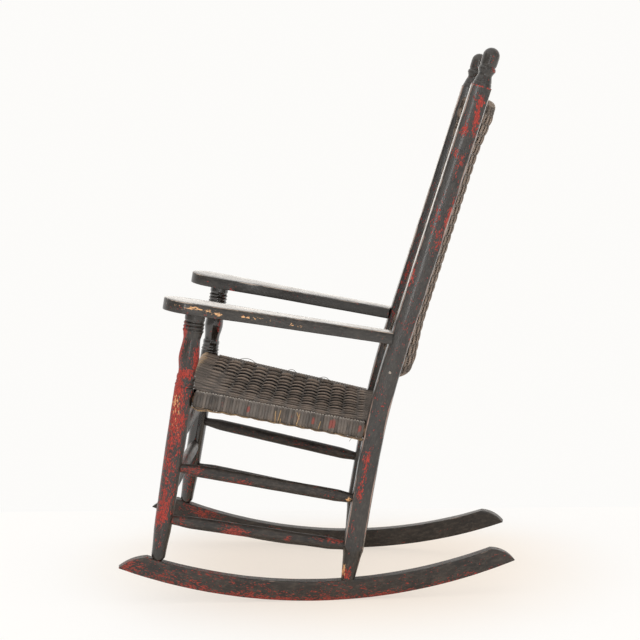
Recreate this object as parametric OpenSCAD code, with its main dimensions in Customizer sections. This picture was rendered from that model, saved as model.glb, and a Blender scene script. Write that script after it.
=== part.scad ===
// Woven rush rocking chair: an old turned armchair on rockers.
// The sitter faces -Y, the sitter's left is +X, Z is up and the floor is Z 0.
// Y 0 is halfway between the tips of the rockers.

/* [Plan] */
// Half the distance between the two front post axes
front_half = 255; // [240:1:270]
// Half the distance between the two back post axes
back_half = 205; // [195:1:215]
// Distance along the floor from front foot to back foot
foot_spread = 396; // [380:1:415]
// How far the front foot stands ahead of the middle of the rockers
front_foot_reach = 334; // [325:1:340]

/* [Rockers] */
// Radius of the curve that rolls on the floor
rocker_radius = 1150; // [1050:10:1250]
// Distance along the floor from the middle to either tip
rocker_reach = 415; // [408:1:425]
// How far the lowest point stands behind the middle, under the chair's weight
roll_y = 4.2; // [0:0.1:12]
// Depth of the board between its two curved edges
rocker_depth = 41; // [38:0.5:46]
// Thickness of the board
rocker_thickness = 26; // [24:0.5:30]
// Length of the tapered nose at the front
front_nose = 60; // [54:1:66]
// Length of the rounded nose at the back
back_nose = 51; // [46:1:64]

/* [Front posts] */
// Diameter of the plain part of the post
front_post_d = 41; // [38:0.5:43]
// Diameter of the small end that stands on the rocker
front_foot_d = 28.5; // [26:0.5:31]
// Backward lean of the front posts in degrees
front_lean = 9.3; // [8:0.1:10.5]
// Diameter of the swell of the turned vase
vase_d = 42.4; // [40:0.2:44]
// Diameter of the two necks of the turned vase
neck_d = 34.6; // [32:0.2:37]

/* [Back posts] */
// Front to back depth of the squared post
back_post_depth = 40.5; // [38.5:0.5:42.5]
// Width of the squared post across the chair
back_post_width = 38; // [36:0.5:40]
// Diameter of the small end that stands on the rocker
back_foot_d = 29; // [27:0.5:31]
// Backward lean below the bend in degrees
back_lean_low = 9.6; // [9:0.1:10.4]
// Backward lean above the bend in degrees
back_lean_high = 17.3; // [16.5:0.1:18]
// Height at which the bend starts
bend_start = 297; // [287:1:307]
// Length of the bend along the post
bend_length = 226; // [215:1:235]
// Height of the tip of the finial
chair_height = 1150; // [1120:1:1190]

/* [Arms] */
// Height of the underside of the arm at the front post
arm_height = 613; // [600:1:626]
// Thickness of the arm
arm_thickness = 24; // [21:0.5:27]
// Fall of the arm towards the back in degrees
arm_fall = 9.4; // [8.6:0.1:10]
// Half width of the rounded paddle at the front
arm_paddle = 46; // [42:1:52]
// Half width of the arm where it meets the back post
arm_tail = 25; // [22:1:28]
// How far the tip reaches ahead of the front post axis
arm_nose = 69; // [64:1:74]

/* [Rungs] */
// Diameter of a rung at its middle
rung_d = 25.5; // [24:0.5:27]
// Diameter of a rung where it enters a post
rung_end_d = 19; // [17:0.5:20]
// Height of the upper side rung at the front post
side_upper_front = 293; // [287:1:299]
// Height of the upper side rung at the back post
side_upper_back = 214; // [208:1:220]
// Height of the lower side rung at the front post
side_lower_front = 182; // [177:1:187]
// Height of the lower side rung at the back post
side_lower_back = 112.5; // [109:0.5:117]
// Height of the upper front rung
front_upper = 347; // [342:1:353]
// Height of the lower front rung
front_lower = 236; // [233:1:239]
// Height of the single back rung
back_rung_height = 163; // [159:1:167]

/* [Seat] */
// Height of the side seat rails at the front posts
seat_front = 439; // [433:1:445]
// Height of the side seat rails at the back posts
seat_back = 358; // [353:1:363]
// Diameter of the seat rails under the weave
seat_rail_d = 27; // [25:0.5:28]
// Diameter of the round tenons of the seat rails
seat_tenon_d = 13; // [11:0.5:14]
// Thickness of one layer of strands
strand_layer = 4; // [3.5:0.1:4.5]
// How far the top of the seat sags in the middle
seat_sag = 13; // [6:0.5:16]

/* [Back panel] */
// Diameter of the two bowed rails under the weave
back_rail_d = 22; // [20:0.5:24]
// How far the rails bow backward at the middle
back_bow = 39; // [34:0.5:43]
// Distance of the top rail above the end of the bend, along the post
back_rail_top_at = 549; // [530:1:555]
// Distance of the bottom rail below the end of the bend, along the post
back_rail_bottom_at = 35; // [30:1:39]
// How far the two layers of the panel draw together at mid height
back_draw = 8.5; // [6:0.1:8.5]

/* [Hidden] */
// Smoothness of the round shapes
$fn = 96;
// Room around a tenon in its hole
fit = 0.15;
// Room beyond the end of a tenon
end_room = 0.5;
// Room between the strands and the wood
strand_room = 0.3;
// Height step between the side rails and the front and back rails of the seat
rail_step = 3;
// Distance from a post axis at which rung tenons stop
rung_stop = 4;
// Distance from a post axis at which seat rail tenons stop
rail_stop = 8;
// Length of the part of a rung that keeps its end diameter
rung_plain = 22;
// Length of the taper of a rung
rung_taper = 32;
// Diameter and length of the foot tenons in the rockers
foot_tenon_d = 16;
foot_tenon_l = 24;
// Diameter and length of the tenon of the front post in the arm
arm_post_tenon_d = 22;
arm_post_tenon_l = 14;
// Diameter of the tenon of the arm in the back post
arm_tenon_d = 14;
// Diameter of the round tenons of the back rails
back_tenon_d = 14;
// Nails in the ends of the bottom back rail
nail_d = 2.4;
nail_head_d = 5.5;
nail_head_h = 1.2;
nail_length = 30;
// Height of the nails above the axis of that rail
nail_rise = 4.5;

back_foot_y = foot_spread - front_foot_reach;
toe = atan((front_half - back_half) / foot_spread);
rocker_mid_x = front_half - (front_foot_reach + roll_y) * tan(toe);
inner_radius = rocker_radius - rocker_depth;

// Distance along a rocker from its lowest point to the place at Y
function along_rocker(y) = (y - roll_y) / cos(toe);
// Height of the top edge of a rocker at distance u from its lowest point
function rocker_top(u) = rocker_radius - sqrt(inner_radius * inner_radius - u * u);
// Height of the bottom edge of a rocker
function rocker_bottom(u) = rocker_radius - sqrt(rocker_radius * rocker_radius - u * u);

front_foot_z = rocker_top(along_rocker(-front_foot_reach));
back_foot_z = rocker_top(along_rocker(back_foot_y));

// Y of the front post axis at height z
function front_y(z) = -front_foot_reach + (z - front_foot_z) * tan(front_lean);

bend_angle = back_lean_high - back_lean_low;
bend_radius = bend_length / bend_angle * 180 / PI;
bend_y = back_foot_y + (bend_start - back_foot_z) * tan(back_lean_low);
bend_end_y = bend_y + bend_radius * (cos(back_lean_low) - cos(back_lean_high));
bend_end = bend_start + bend_radius * (sin(back_lean_high) - sin(back_lean_low));
// Angle of the back post at height z inside the bend
function bend_at(z) = asin((z - bend_start) / bend_radius + sin(back_lean_low));
// Y of the back post axis at height z
function back_y(z) =
    z < bend_start ? back_foot_y + (z - back_foot_z) * tan(back_lean_low)
    : z < bend_end ? bend_y + bend_radius * (cos(back_lean_low) - cos(bend_at(z)))
    : bend_end_y + (z - bend_end) * tan(back_lean_high);

// Points on the axes of the left posts
function front_at(z) = [front_half, front_y(z), z];
function back_at(z) = [back_half, back_y(z), z];
function mirrored(p) = [-p[0], p[1], p[2]];

// Lengths along the posts
front_length = (arm_height - front_foot_z) / cos(front_lean);
low_length = (bend_start - back_foot_z) / cos(back_lean_low);
high_length = (chair_height - bend_end) / cos(back_lean_high);
finial_height = 82;

// Where the arm meets the back post
arm_front = front_at(arm_height);
arm_drop_guess = (back_y(arm_height) - arm_front[1]) * tan(arm_fall);
arm_back_y = back_y(arm_height - arm_drop_guess);
arm_toe = atan((front_half - back_half) / (arm_back_y - arm_front[1]));
arm_length = (arm_back_y - arm_front[1]) / cos(arm_toe) / cos(arm_fall);

wood = [0.13, 0.12, 0.115];
rail_wood = [0.42, 0.28, 0.17];
weave_colour = [0.2, 0.165, 0.15];
metal = [0.55, 0.5, 0.42];

// Puts the children's +Z along the line from a to b, with their origin at a
module along(a, b) {
    v = b - a;
    translate(a)
        rotate([0, acos(v[2] / norm(v)), atan2(v[1], v[0])])
            children();
}

// A turned bar from a list of [distance, radius] pairs
module turned(profile) {
    last = profile[len(profile) - 1][0];
    rotate_extrude()
        polygon(concat([[0, profile[0][0]]], [for (p = profile) [p[1], p[0]]], [[0, last]]));
}

// Local frames: +Z runs up the post
module front_frame() {
    translate([front_half, -front_foot_reach, front_foot_z])
        rotate([-front_lean, 0, 0])
            children();
}
module back_low_frame() {
    translate([back_half, back_foot_y, back_foot_z])
        rotate([-back_lean_low, 0, 0])
            children();
}
// Origin at the end of the bend
module back_high_frame(x) {
    translate([x, bend_end_y, bend_end])
        rotate([-back_lean_high, 0, 0])
            children();
}
// Origin under the arm at the front post axis, +Y runs back along the arm
module arm_frame() {
    translate(arm_front)
        rotate([0, 0, arm_toe])
            rotate([-arm_fall, 0, 0])
                children();
}
// Origin on the floor at the rocker's lowest point, +Y runs along the rocker
module rocker_frame() {
    translate([rocker_mid_x, roll_y, 0])
        rotate([0, 0, toe])
            children();
}

// Rockers

// Everything beyond the arc that rounds a nose off, from its peak to its tip at reach
module nose_waste(length, reach) {
    tip = rocker_bottom(reach);
    peak = reach - length;
    rise = rocker_top(peak) - tip;
    r = (length * length + rise * rise) / (2 * rise);
    difference() {
        translate([peak, 0])
            square([length + rocker_depth, 2 * rocker_top(peak)]);
        translate([peak, rocker_top(peak) - r])
            circle(r = r, $fn = 180);
    }
}

module rocker_outline() {
    back_reach = along_rocker(rocker_reach);
    front_reach = -along_rocker(-rocker_reach);
    difference() {
        intersection() {
            translate([0, rocker_radius])
                difference() {
                    circle(r = rocker_radius, $fn = 720);
                    circle(r = inner_radius, $fn = 720);
                }
            translate([-front_reach, -1])
                square([front_reach + back_reach, rocker_radius / 2]);
        }
        nose_waste(back_nose, back_reach);
        mirror([1, 0])
            nose_waste(front_nose, front_reach);
    }
}

module rocker_blank() {
    rocker_frame()
        translate([-rocker_thickness / 2, 0, 0])
            rotate([90, 0, 90])
                linear_extrude(height = rocker_thickness)
                    rocker_outline();
}

module foot_tenon(room) {
    translate([0, 0, -foot_tenon_l - (room > 0 ? end_room : 0)])
        cylinder(d = foot_tenon_d + 2 * room, h = foot_tenon_l + (room > 0 ? foot_tenon_l : 12));
}

module rocker() {
    difference() {
        rocker_blank();
        front_frame()
            foot_tenon(fit);
        back_low_frame()
            foot_tenon(fit);
    }
}

// Rungs and rails

// A rung between two post axes, at the origin along +Z
module rung_bar(length) {
    rotate_extrude()
        polygon([
            [0, rung_stop],
            [rung_end_d / 2, rung_stop],
            [rung_end_d / 2, rung_plain],
            [rung_d / 2, rung_plain + rung_taper],
            [rung_d / 2, length - rung_plain - rung_taper],
            [rung_end_d / 2, length - rung_plain],
            [rung_end_d / 2, length - rung_stop],
            [0, length - rung_stop]
        ]);
}
module rung(a, b) {
    along(a, b)
        rung_bar(norm(b - a));
}
module rung_hole(a, b) {
    along(a, b)
        translate([0, 0, rung_stop - end_room])
            cylinder(d = rung_end_d + 2 * fit, h = rung_plain);
}

// A seat rail with round tenons, shouldered clear of the posts
module rail(a, b, shoulder_a, shoulder_b) {
    length = norm(b - a);
    along(a, b) {
        translate([0, 0, shoulder_a])
            cylinder(d = seat_rail_d, h = length - shoulder_a - shoulder_b);
        translate([0, 0, rail_stop])
            cylinder(d = seat_tenon_d, h = length - 2 * rail_stop);
    }
}
module rail_hole(a, b) {
    along(a, b)
        translate([0, 0, rail_stop - end_room])
            cylinder(d = seat_tenon_d + 2 * fit, h = rung_plain);
}

front_shoulder = front_post_d / 2 + 1;
back_shoulder_side = back_post_depth / 2 + 1.5;
back_shoulder_inner = back_post_width / 2 + 0.5;
front_rail_z = seat_front + rail_step;
back_rail_z = seat_back + rail_step;

// Front posts

bead_r = front_post_d / 2 + 1.2;
bead_valley = front_post_d / 2 - 0.8;
bead_pitch = 7.4;
collar = 13;
bead_start = collar + 4;
// Heights on the vase, measured down from the top of the turning
neck_top = 52;
belly = 92;
neck_low = 123;
ring_top = neck_low + 6.5;
ring_low = ring_top + 9.5;
// The two small bands under the ring, and the groove depth between them
band_h = 6.5;
band_groove = 1.1;
band_top = ring_low + 1.6;
// Half wave of one bead at fraction t of its height
function bead(t) = bead_valley + (bead_r - bead_valley) * sin(180 * t);
function smooth(t) = t * t * (3 - 2 * t);
function between(a, b, t) = a + (b - a) * smooth(t);

// Distances are measured down from the top of the turning
vase_points = concat(
    [[0, front_post_d / 2 + 0.5], [collar, front_post_d / 2 + 0.5], [collar + 2, bead_valley]],
    [for (i = [0:2]) for (t = [0:0.25:0.99]) [bead_start + (i + t) * bead_pitch, bead(t)]],
    [for (t = [0:0.25:1]) [neck_top - 12 * (1 - t), between(bead_valley, neck_d / 2 + 0.6, t)]],
    [for (t = [0.2:0.2:1]) [neck_top + (belly - neck_top) * t, between(neck_d / 2 + 0.6, vase_d / 2, t)]],
    [for (t = [0.2:0.2:1]) [belly + (neck_low - belly) * t, between(vase_d / 2, neck_d / 2, t)]],
    [[ring_top - 1.5, neck_d / 2], [ring_top, neck_d / 2 + 1.6], [ring_low, neck_d / 2 + 1.9]],
    [for (i = [0:1]) for (t = [0:0.25:0.99])
        [band_top + (i + t) * band_h, neck_d / 2 + 1.2 + i * 1.3 + band_groove * sin(180 * t)]],
    [[band_top + 2 * band_h, front_post_d / 2 - band_groove], [band_top + 2 * band_h + 1.5, front_post_d / 2]]
);
foot_points = [
    [258, front_post_d / 2],
    [172, front_post_d / 2 - 1.1],
    [85, front_post_d / 2 - 2.1],
    [62, front_post_d / 2 - 2.7],
    [16, front_foot_d / 2 + 1],
    [-8, front_foot_d / 2]
];
front_profile = concat(
    [for (i = [len(foot_points) - 1:-1:0]) foot_points[i]],
    [for (i = [len(vase_points) - 1:-1:0]) [front_length - vase_points[i][0], vase_points[i][1]]],
    [[front_length + 3, front_post_d / 2 + 0.5]]
);

module front_post() {
    difference() {
        union() {
            difference() {
                front_frame()
                    turned(front_profile);
                rocker_blank();
                arm_frame()
                    translate([-arm_paddle, -arm_paddle, 0])
                        cube([2 * arm_paddle, 2 * arm_paddle, arm_thickness]);
            }
            front_frame() {
                foot_tenon(0);
                translate([0, 0, front_length - 6])
                    cylinder(d = arm_post_tenon_d, h = arm_post_tenon_l + 6);
            }
        }
        rung_hole(front_at(side_upper_front), back_at(side_upper_back));
        rung_hole(front_at(side_lower_front), back_at(side_lower_back));
        rung_hole(front_at(front_upper), mirrored(front_at(front_upper)));
        rung_hole(front_at(front_lower), mirrored(front_at(front_lower)));
        rail_hole(front_at(seat_front), back_at(seat_back));
        rail_hole(front_at(front_rail_z), mirrored(front_at(front_rail_z)));
    }
}

// Back posts

// Points of the post's axis as [y, z, lean], from under the foot to above the finial
bend_steps = 24;
post_path = concat(
    [[back_foot_y - 10 * sin(back_lean_low), back_foot_z - 10 * cos(back_lean_low), back_lean_low]],
    [for (i = [0:bend_steps]) let (lean = back_lean_low + bend_angle * i / bend_steps) [
        bend_y + bend_radius * (cos(back_lean_low) - cos(lean)),
        bend_start + bend_radius * (sin(lean) - sin(back_lean_low)),
        lean
    ]],
    [[bend_end_y + high_length * sin(back_lean_high), bend_end + high_length * cos(back_lean_high), back_lean_high]]
);
function beside(p, d) = [p[0] + d * cos(p[2]), p[1] - d * sin(p[2])];

module back_post_board() {
    half = back_post_depth / 2;
    translate([back_half - back_post_width / 2, 0, 0])
        rotate([90, 0, 90])
            linear_extrude(height = back_post_width)
                polygon(concat(
                    [for (p = post_path) beside(p, half)],
                    [for (i = [len(post_path) - 1:-1:0]) beside(post_path[i], -half)]
                ));
}

// What is turned away round a turned end of the given height
module turning_waste(height) {
    difference() {
        translate([0, 0, -12])
            cylinder(r = 1.4 * back_post_depth, h = height + 12);
        children();
    }
}

// The turned top: shoulder, flare, neck, ring and dome
ring_r = back_post_width / 2 - 1;
dome_r = 17.5;
finial_points = concat(
    [[-14, 1.5 * back_post_depth], [0, back_post_depth], [2, ring_r + 2], [9, ring_r + 0.6], [12, ring_r], [14, ring_r - 0.8]],
    [for (t = [0.25:0.25:1]) [14 + 11 * t, between(ring_r - 0.8, 14.6, t)]],
    [[28, 14.6], [30, 15.8]],
    [for (t = [0.2:0.2:0.9]) [31 + 12 * t, 16 + 2.4 * sin(180 * t)]],
    [[43, 15.6], [45, 16.4], [48, 17.2]],
    [for (a = [0:15:75]) [64.5 + dome_r * sin(a), dome_r * cos(a)]],
    [[finial_height, 2]]
);

module back_post_blank() {
    difference() {
        back_post_board();
        back_low_frame()
            turning_waste(68)
                turned([[-14, back_foot_d / 2], [32, back_foot_d / 2], [70, back_post_depth]]);
        back_high_frame(back_half)
            translate([0, 0, high_length - finial_height])
                turning_waste(finial_height + 5)
                    turned(finial_points);
    }
}

back_rail_ends = [-back_rail_bottom_at, back_rail_top_at];

module back_post() {
    difference() {
        union() {
            difference() {
                back_post_blank();
                rocker_blank();
            }
            back_low_frame()
                foot_tenon(0);
        }
        rung_hole(back_at(side_upper_back), front_at(side_upper_front));
        rung_hole(back_at(side_lower_back), front_at(side_lower_front));
        rung_hole(back_at(back_rung_height), mirrored(back_at(back_rung_height)));
        rail_hole(back_at(seat_back), front_at(seat_front));
        rail_hole(back_at(back_rail_z), mirrored(back_at(back_rail_z)));
        arm_tenon(fit);
        for (s = back_rail_ends)
            back_high_frame(back_half)
                translate([-back_post_width, 0, s])
                    rotate([0, 90, 0])
                        cylinder(d = back_tenon_d + 2 * fit, h = back_post_width - rung_stop + end_room);
        nail(fit);
    }
}

// Arms

arm_waist = (arm_paddle + 2 * arm_tail) / 3 + 1;
// Distance from the front post axis to the waist of the arm
arm_waist_at = 0.37 * arm_length;
// Half width of the arm at distance y behind the front post axis
function arm_half(y) =
    y < 0 ? arm_paddle
    : y < arm_waist_at ? between(arm_paddle, arm_waist, y / arm_waist_at)
    : between(arm_waist, arm_tail, (y - arm_waist_at) / (arm_length - arm_waist_at));

module arm_outline() {
    start = arm_paddle - arm_nose;
    steps = concat(
        [start],
        [for (t = [0:0.125:1]) arm_waist_at * t],
        [for (t = [0.2:0.2:1]) arm_waist_at + (arm_length - arm_waist_at) * t]
    );
    translate([0, start])
        circle(r = arm_paddle, $fn = 120);
    polygon(concat(
        [for (y = steps) [arm_half(y), y]],
        [for (i = [len(steps) - 1:-1:0]) [-arm_half(steps[i]), steps[i]]]
    ));
}

// The round tenon that enters the back post
module arm_tenon(room) {
    arm_frame()
        translate([0, arm_length - rung_stop + (room > 0 ? end_room : 0), arm_thickness / 2])
            rotate([90, 0, 0])
                cylinder(d = arm_tenon_d + 2 * room, h = 38);
}

module arm() {
    difference() {
        union() {
            difference() {
                arm_frame()
                    linear_extrude(height = arm_thickness)
                        arm_outline();
                // Everything behind the front face of the back post
                back_high_frame(back_half)
                    translate([-2 * arm_tail, -back_post_depth / 2, -bend_length / 2])
                        cube([4 * arm_tail, 3 * back_post_depth, bend_length * 1.5]);
            }
            arm_tenon(0);
        }
        front_frame()
            translate([0, 0, front_length - 6])
                cylinder(d = arm_post_tenon_d + 2 * fit, h = arm_post_tenon_l + 6 + end_room);
    }
}

// Bowed rails of the back panel

back_span = back_half - back_post_width / 2;
bow_radius = (back_span * back_span + back_bow * back_bow) / (2 * back_bow);
bow_angle = asin(back_span / bow_radius);
// How far the panel stands behind the post axes at distance x from the middle
function bow(x) = sqrt(bow_radius * bow_radius - x * x) - bow_radius + back_bow;

module bowed_rail(s) {
    back_high_frame(0)
        translate([0, back_bow - bow_radius, s]) {
            rotate([0, 0, 90 - bow_angle])
                rotate_extrude(angle = 2 * bow_angle, $fn = 360)
                    translate([bow_radius, 0])
                        circle(d = back_rail_d, $fn = 48);
            for (side = [-1, 1])
                translate([side * (back_span - 12), bow_radius - back_bow, 0])
                    rotate([0, side * 90, 0])
                        cylinder(d = back_tenon_d, h = back_half - rung_stop - back_span + 12);
        }
}

// One nail in the end of the bottom back rail, on the left side
module nail(room) {
    reach = nail_length + (room > 0 ? end_room : 0);
    back_high_frame(back_half)
        translate([back_post_width / 2, 0, nail_rise - back_rail_bottom_at])
            rotate([0, 90, 0]) {
                translate([0, 0, -reach])
                    cylinder(d = nail_d + 2 * room, h = reach + 0.1, $fn = 32);
                if (room == 0)
                    cylinder(d1 = nail_head_d, d2 = nail_head_d - 1.4, h = nail_head_h, $fn = 32);
            }
}

// Strands

// The skin of a tube around a list of closed outer and inner loops, one pair a station
module loop_tube(outer, inner) {
    m = len(outer);
    n = len(outer[0]);
    points = concat([for (loop = outer) each loop], [for (loop = inner) each loop]);
    shift = m * n;
    skin = [for (i = [0:m - 2], j = [0:n - 1])
        each let (
            a = i * n + j,
            b = i * n + (j + 1) % n,
            c = (i + 1) * n + (j + 1) % n,
            d = (i + 1) * n + j
        ) [[a, b, c], [a, c, d], [shift + a, shift + c, shift + b], [shift + a, shift + d, shift + c]]
    ];
    rims = [for (j = [0:n - 1])
        each let (
            k = (j + 1) % n,
            e = (m - 1) * n
        ) [
            [j, shift + j, shift + k], [j, shift + k, k],
            [e + j, e + k, shift + e + k], [e + j, shift + e + k, shift + e + j]
        ]
    ];
    polyhedron(points = points, faces = concat(skin, rims));
}

seat_from = front_at(seat_front);
seat_to = back_at(seat_back);
seat_run = [0, seat_to[1] - seat_from[1], seat_to[2] - seat_from[2]];
seat_depth = norm(seat_run);
seat_dir = seat_run / seat_depth;
seat_up = [0, -seat_dir[2], seat_dir[1]];
wrap_in = seat_rail_d / 2 + strand_room;
wrap_out = wrap_in + strand_layer;
bottom_sag = 4;
// The cross strands pass under the long ones by this much
cross_dip = strand_layer - rail_step + 2 * strand_room;
// Width of the plain wraps beside the long strands
edge_width = wrap_out + 4;

// Half width between the side rail axes at distance w behind the front rail
function seat_half(w) = front_half + (back_half - front_half) * min(1, max(0, w / seat_depth));
// Share of the sag at fraction s across and distance w along the seat
function sag_at(s, w) = (1 - s * s) * (1 - pow(2 * min(1, max(0, w / seat_depth)) - 1, 2));
// The dip of the cross strands at x between side rails at half
function dip_at(x, half) = cross_dip * smooth(min(1, max(0, (half - 1 - abs(x)) / (edge_width - 6))));

top_steps = 12;
turn_steps = 8;

// Closed section of the cross strands at distance w, grown from radius r
function cross_loop(w, r) = let (
    half = seat_half(w),
    base = [0, seat_from[1], seat_from[2]] + seat_dir * w,
    fractions = [1, 0.96, 0.92, 0.85, 0.6, 0.3, 0, -0.3, -0.6, -0.85, -0.92, -0.96, -1],
    top = [for (s = fractions)
        [s * half, r - dip_at(s * half, half) - seat_sag * sag_at(s, w)]],
    right = [for (i = [1:turn_steps - 1]) let (a = 90 + 180 * i / turn_steps)
        [-half + r * cos(a), r * sin(a)]],
    bottom = [for (s = fractions)
        [-s * half, -r - dip_at(s * half, half) - bottom_sag * sag_at(s, w)]],
    left = [for (i = [1:turn_steps - 1]) let (a = -90 + 180 * i / turn_steps)
        [half + r * cos(a), r * sin(a)]]
) [for (p = concat(top, right, bottom, left)) base + [p[0], 0, 0] + seat_up * p[1]];

cross_from = front_post_d / 2 / cos(front_lean) + 1.4;
cross_to = seat_depth - back_post_depth / 2 - 2.2;
cross_stations = 10;

module cross_strands() {
    stations = [for (i = [0:cross_stations]) cross_from + (cross_to - cross_from) * i / cross_stations];
    loop_tube([for (w = stations) cross_loop(w, wrap_out)], [for (w = stations) cross_loop(w, wrap_in)]);
}

// Closed section of the long strands at fraction s across, grown from radius r
function long_loop(s, r) = let (
    base = [0, seat_from[1], seat_from[2]] + seat_up * rail_step * seat_dir[1],
    top = [for (i = [0:top_steps]) let (w = seat_depth * i / top_steps)
        [w, r - seat_sag * sag_at(s * (1 - edge_width / seat_half(w)), w)]],
    rear = [for (i = [1:turn_steps - 1]) let (a = 90 - 180 * i / turn_steps)
        [seat_depth + r * cos(a), r * sin(a)]],
    bottom = [for (i = [top_steps:-1:0]) let (w = seat_depth * i / top_steps)
        [w, -r - bottom_sag * sag_at(s * (1 - edge_width / seat_half(w)), w)]],
    front = [for (i = [1:turn_steps - 1]) let (a = -90 - 180 * i / turn_steps)
        [r * cos(a), r * sin(a)]]
) [for (p = concat(top, rear, bottom, front))
    base + [s * (seat_half(p[0]) - edge_width), 0, 0] + seat_dir * p[0] + seat_up * p[1]];

long_stations = 12;

module long_strands() {
    stations = [for (i = [0:long_stations]) 2 * i / long_stations - 1];
    loop_tube([for (s = stations) long_loop(s, wrap_out)], [for (s = stations) long_loop(s, wrap_in)]);
}

back_wrap_in = back_rail_d / 2 + strand_room;
back_wrap_out = back_wrap_in + strand_layer;
panel_half = back_span - 3;
panel_low = -back_rail_bottom_at;
panel_tall = back_rail_top_at - panel_low;

// How far the panel's layers draw together at fraction t of its height
function draw_at(t) = back_draw * smooth(min(1, 6 * t * (1 - t)));

// Closed section of the panel at distance x from the middle, grown from radius r
function panel_loop(x, r) = let (
    middle = bow(x),
    rear = [for (i = [0:top_steps]) let (t = i / top_steps)
        [middle + r - draw_at(t), panel_low + panel_tall * t]],
    over = [for (i = [1:turn_steps - 1]) let (a = 180 * i / turn_steps)
        [middle + r * cos(a), panel_low + panel_tall + r * sin(a)]],
    front = [for (i = [top_steps:-1:0]) let (t = i / top_steps)
        [middle - r + draw_at(t), panel_low + panel_tall * t]],
    under = [for (i = [1:turn_steps - 1]) let (a = 180 + 180 * i / turn_steps)
        [middle + r * cos(a), panel_low + r * sin(a)]]
) [for (p = concat(rear, over, front, under)) [x, p[0], p[1]]];

panel_stations = 12;

module panel() {
    stations = [for (i = [0:panel_stations]) panel_half * (2 * i / panel_stations - 1)];
    back_high_frame(0)
        loop_tube([for (x = stations) panel_loop(x, back_wrap_out)],
            [for (x = stations) panel_loop(x, back_wrap_in)]);
}

// Nodes

module rocker_left() { color(wood) rocker(); }
module rocker_right() { color(wood) mirror([1, 0, 0]) rocker(); }
module front_post_left() { color(wood) front_post(); }
module front_post_right() { color(wood) mirror([1, 0, 0]) front_post(); }
module back_post_left() { color(wood) back_post(); }
module back_post_right() { color(wood) mirror([1, 0, 0]) back_post(); }
module arm_left() { color(wood) arm(); }
module arm_right() { color(wood) mirror([1, 0, 0]) arm(); }

module upper_side_rung_left() {
    color(wood)
        rung(front_at(side_upper_front), back_at(side_upper_back));
}
module upper_side_rung_right() {
    color(wood)
        rung(mirrored(front_at(side_upper_front)), mirrored(back_at(side_upper_back)));
}
module lower_side_rung_left() {
    color(wood)
        rung(front_at(side_lower_front), back_at(side_lower_back));
}
module lower_side_rung_right() {
    color(wood)
        rung(mirrored(front_at(side_lower_front)), mirrored(back_at(side_lower_back)));
}
module upper_front_rung() {
    color(wood)
        rung(front_at(front_upper), mirrored(front_at(front_upper)));
}
module lower_front_rung() {
    color(wood)
        rung(front_at(front_lower), mirrored(front_at(front_lower)));
}
module back_rung() {
    color(wood)
        rung(back_at(back_rung_height), mirrored(back_at(back_rung_height)));
}

module seat_rail_left() {
    color(rail_wood)
        rail(front_at(seat_front), back_at(seat_back), front_shoulder, back_shoulder_side);
}
module seat_rail_right() {
    color(rail_wood)
        rail(mirrored(front_at(seat_front)), mirrored(back_at(seat_back)), front_shoulder, back_shoulder_side);
}
module seat_rail_front() {
    color(rail_wood)
        rail(front_at(front_rail_z), mirrored(front_at(front_rail_z)), front_shoulder, front_shoulder);
}
module seat_rail_back() {
    color(rail_wood)
        rail(back_at(back_rail_z), mirrored(back_at(back_rail_z)), back_shoulder_inner, back_shoulder_inner);
}
module back_rail_top() { color(rail_wood) bowed_rail(back_rail_top_at); }
module back_rail_bottom() {
    color(rail_wood)
        difference() {
            bowed_rail(-back_rail_bottom_at);
            nail(fit);
            mirror([1, 0, 0])
                nail(fit);
        }
}
module rail_nails() {
    color(metal) {
        nail(0);
        mirror([1, 0, 0])
            nail(0);
    }
}

module seat_cross_strands() { color(weave_colour) cross_strands(); }
module seat_long_strands() { color(weave_colour) long_strands(); }
module back_weave() { color(weave_colour) panel(); }

rocker_left();
rocker_right();
front_post_left();
front_post_right();
back_post_left();
back_post_right();
arm_left();
arm_right();
upper_side_rung_left();
upper_side_rung_right();
lower_side_rung_left();
lower_side_rung_right();
upper_front_rung();
lower_front_rung();
back_rung();
seat_rail_left();
seat_rail_right();
seat_rail_front();
seat_rail_back();
back_rail_top();
back_rail_bottom();
rail_nails();
seat_cross_strands();
seat_long_strands();
back_weave();
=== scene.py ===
"""A woven rush rocking chair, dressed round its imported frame.

Lengths are metres in the frame's own axes: the sitter faces -Y, the sitter's
left is +X, Z is up and the floor is Z 0. Each sub-assembly is a class that
holds its sizes and builds its pieces; each finish is a frozen dataclass.
"""

import logging
import math
from dataclasses import dataclass, field
from enum import Enum
from typing import Any, Iterable, Optional, Sequence, Union

import bmesh
import bpy
import numpy as np
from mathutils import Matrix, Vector, noise


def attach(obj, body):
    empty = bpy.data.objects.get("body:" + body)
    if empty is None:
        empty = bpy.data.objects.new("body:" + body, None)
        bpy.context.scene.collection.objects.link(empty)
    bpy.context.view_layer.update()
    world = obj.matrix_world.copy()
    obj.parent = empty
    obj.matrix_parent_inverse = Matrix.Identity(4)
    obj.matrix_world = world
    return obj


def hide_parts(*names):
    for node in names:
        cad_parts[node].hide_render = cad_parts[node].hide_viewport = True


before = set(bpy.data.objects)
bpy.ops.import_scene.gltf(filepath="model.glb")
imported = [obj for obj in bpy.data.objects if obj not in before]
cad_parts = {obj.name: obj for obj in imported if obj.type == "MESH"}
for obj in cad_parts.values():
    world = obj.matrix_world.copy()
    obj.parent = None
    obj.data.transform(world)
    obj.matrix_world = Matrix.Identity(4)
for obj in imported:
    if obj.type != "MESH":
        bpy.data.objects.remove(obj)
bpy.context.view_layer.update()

log = logging.getLogger("rocking_chair")

BODY = "root"
SEED = 41

Material = bpy.types.Material
Piece = bpy.types.Object
Triple = tuple[float, float, float]
ACROSS = np.array([1.0, 0.0, 0.0])


class Side(Enum):
    """The sitter's left or right; the value is the sign of X."""

    LEFT = 1
    RIGHT = -1


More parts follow.
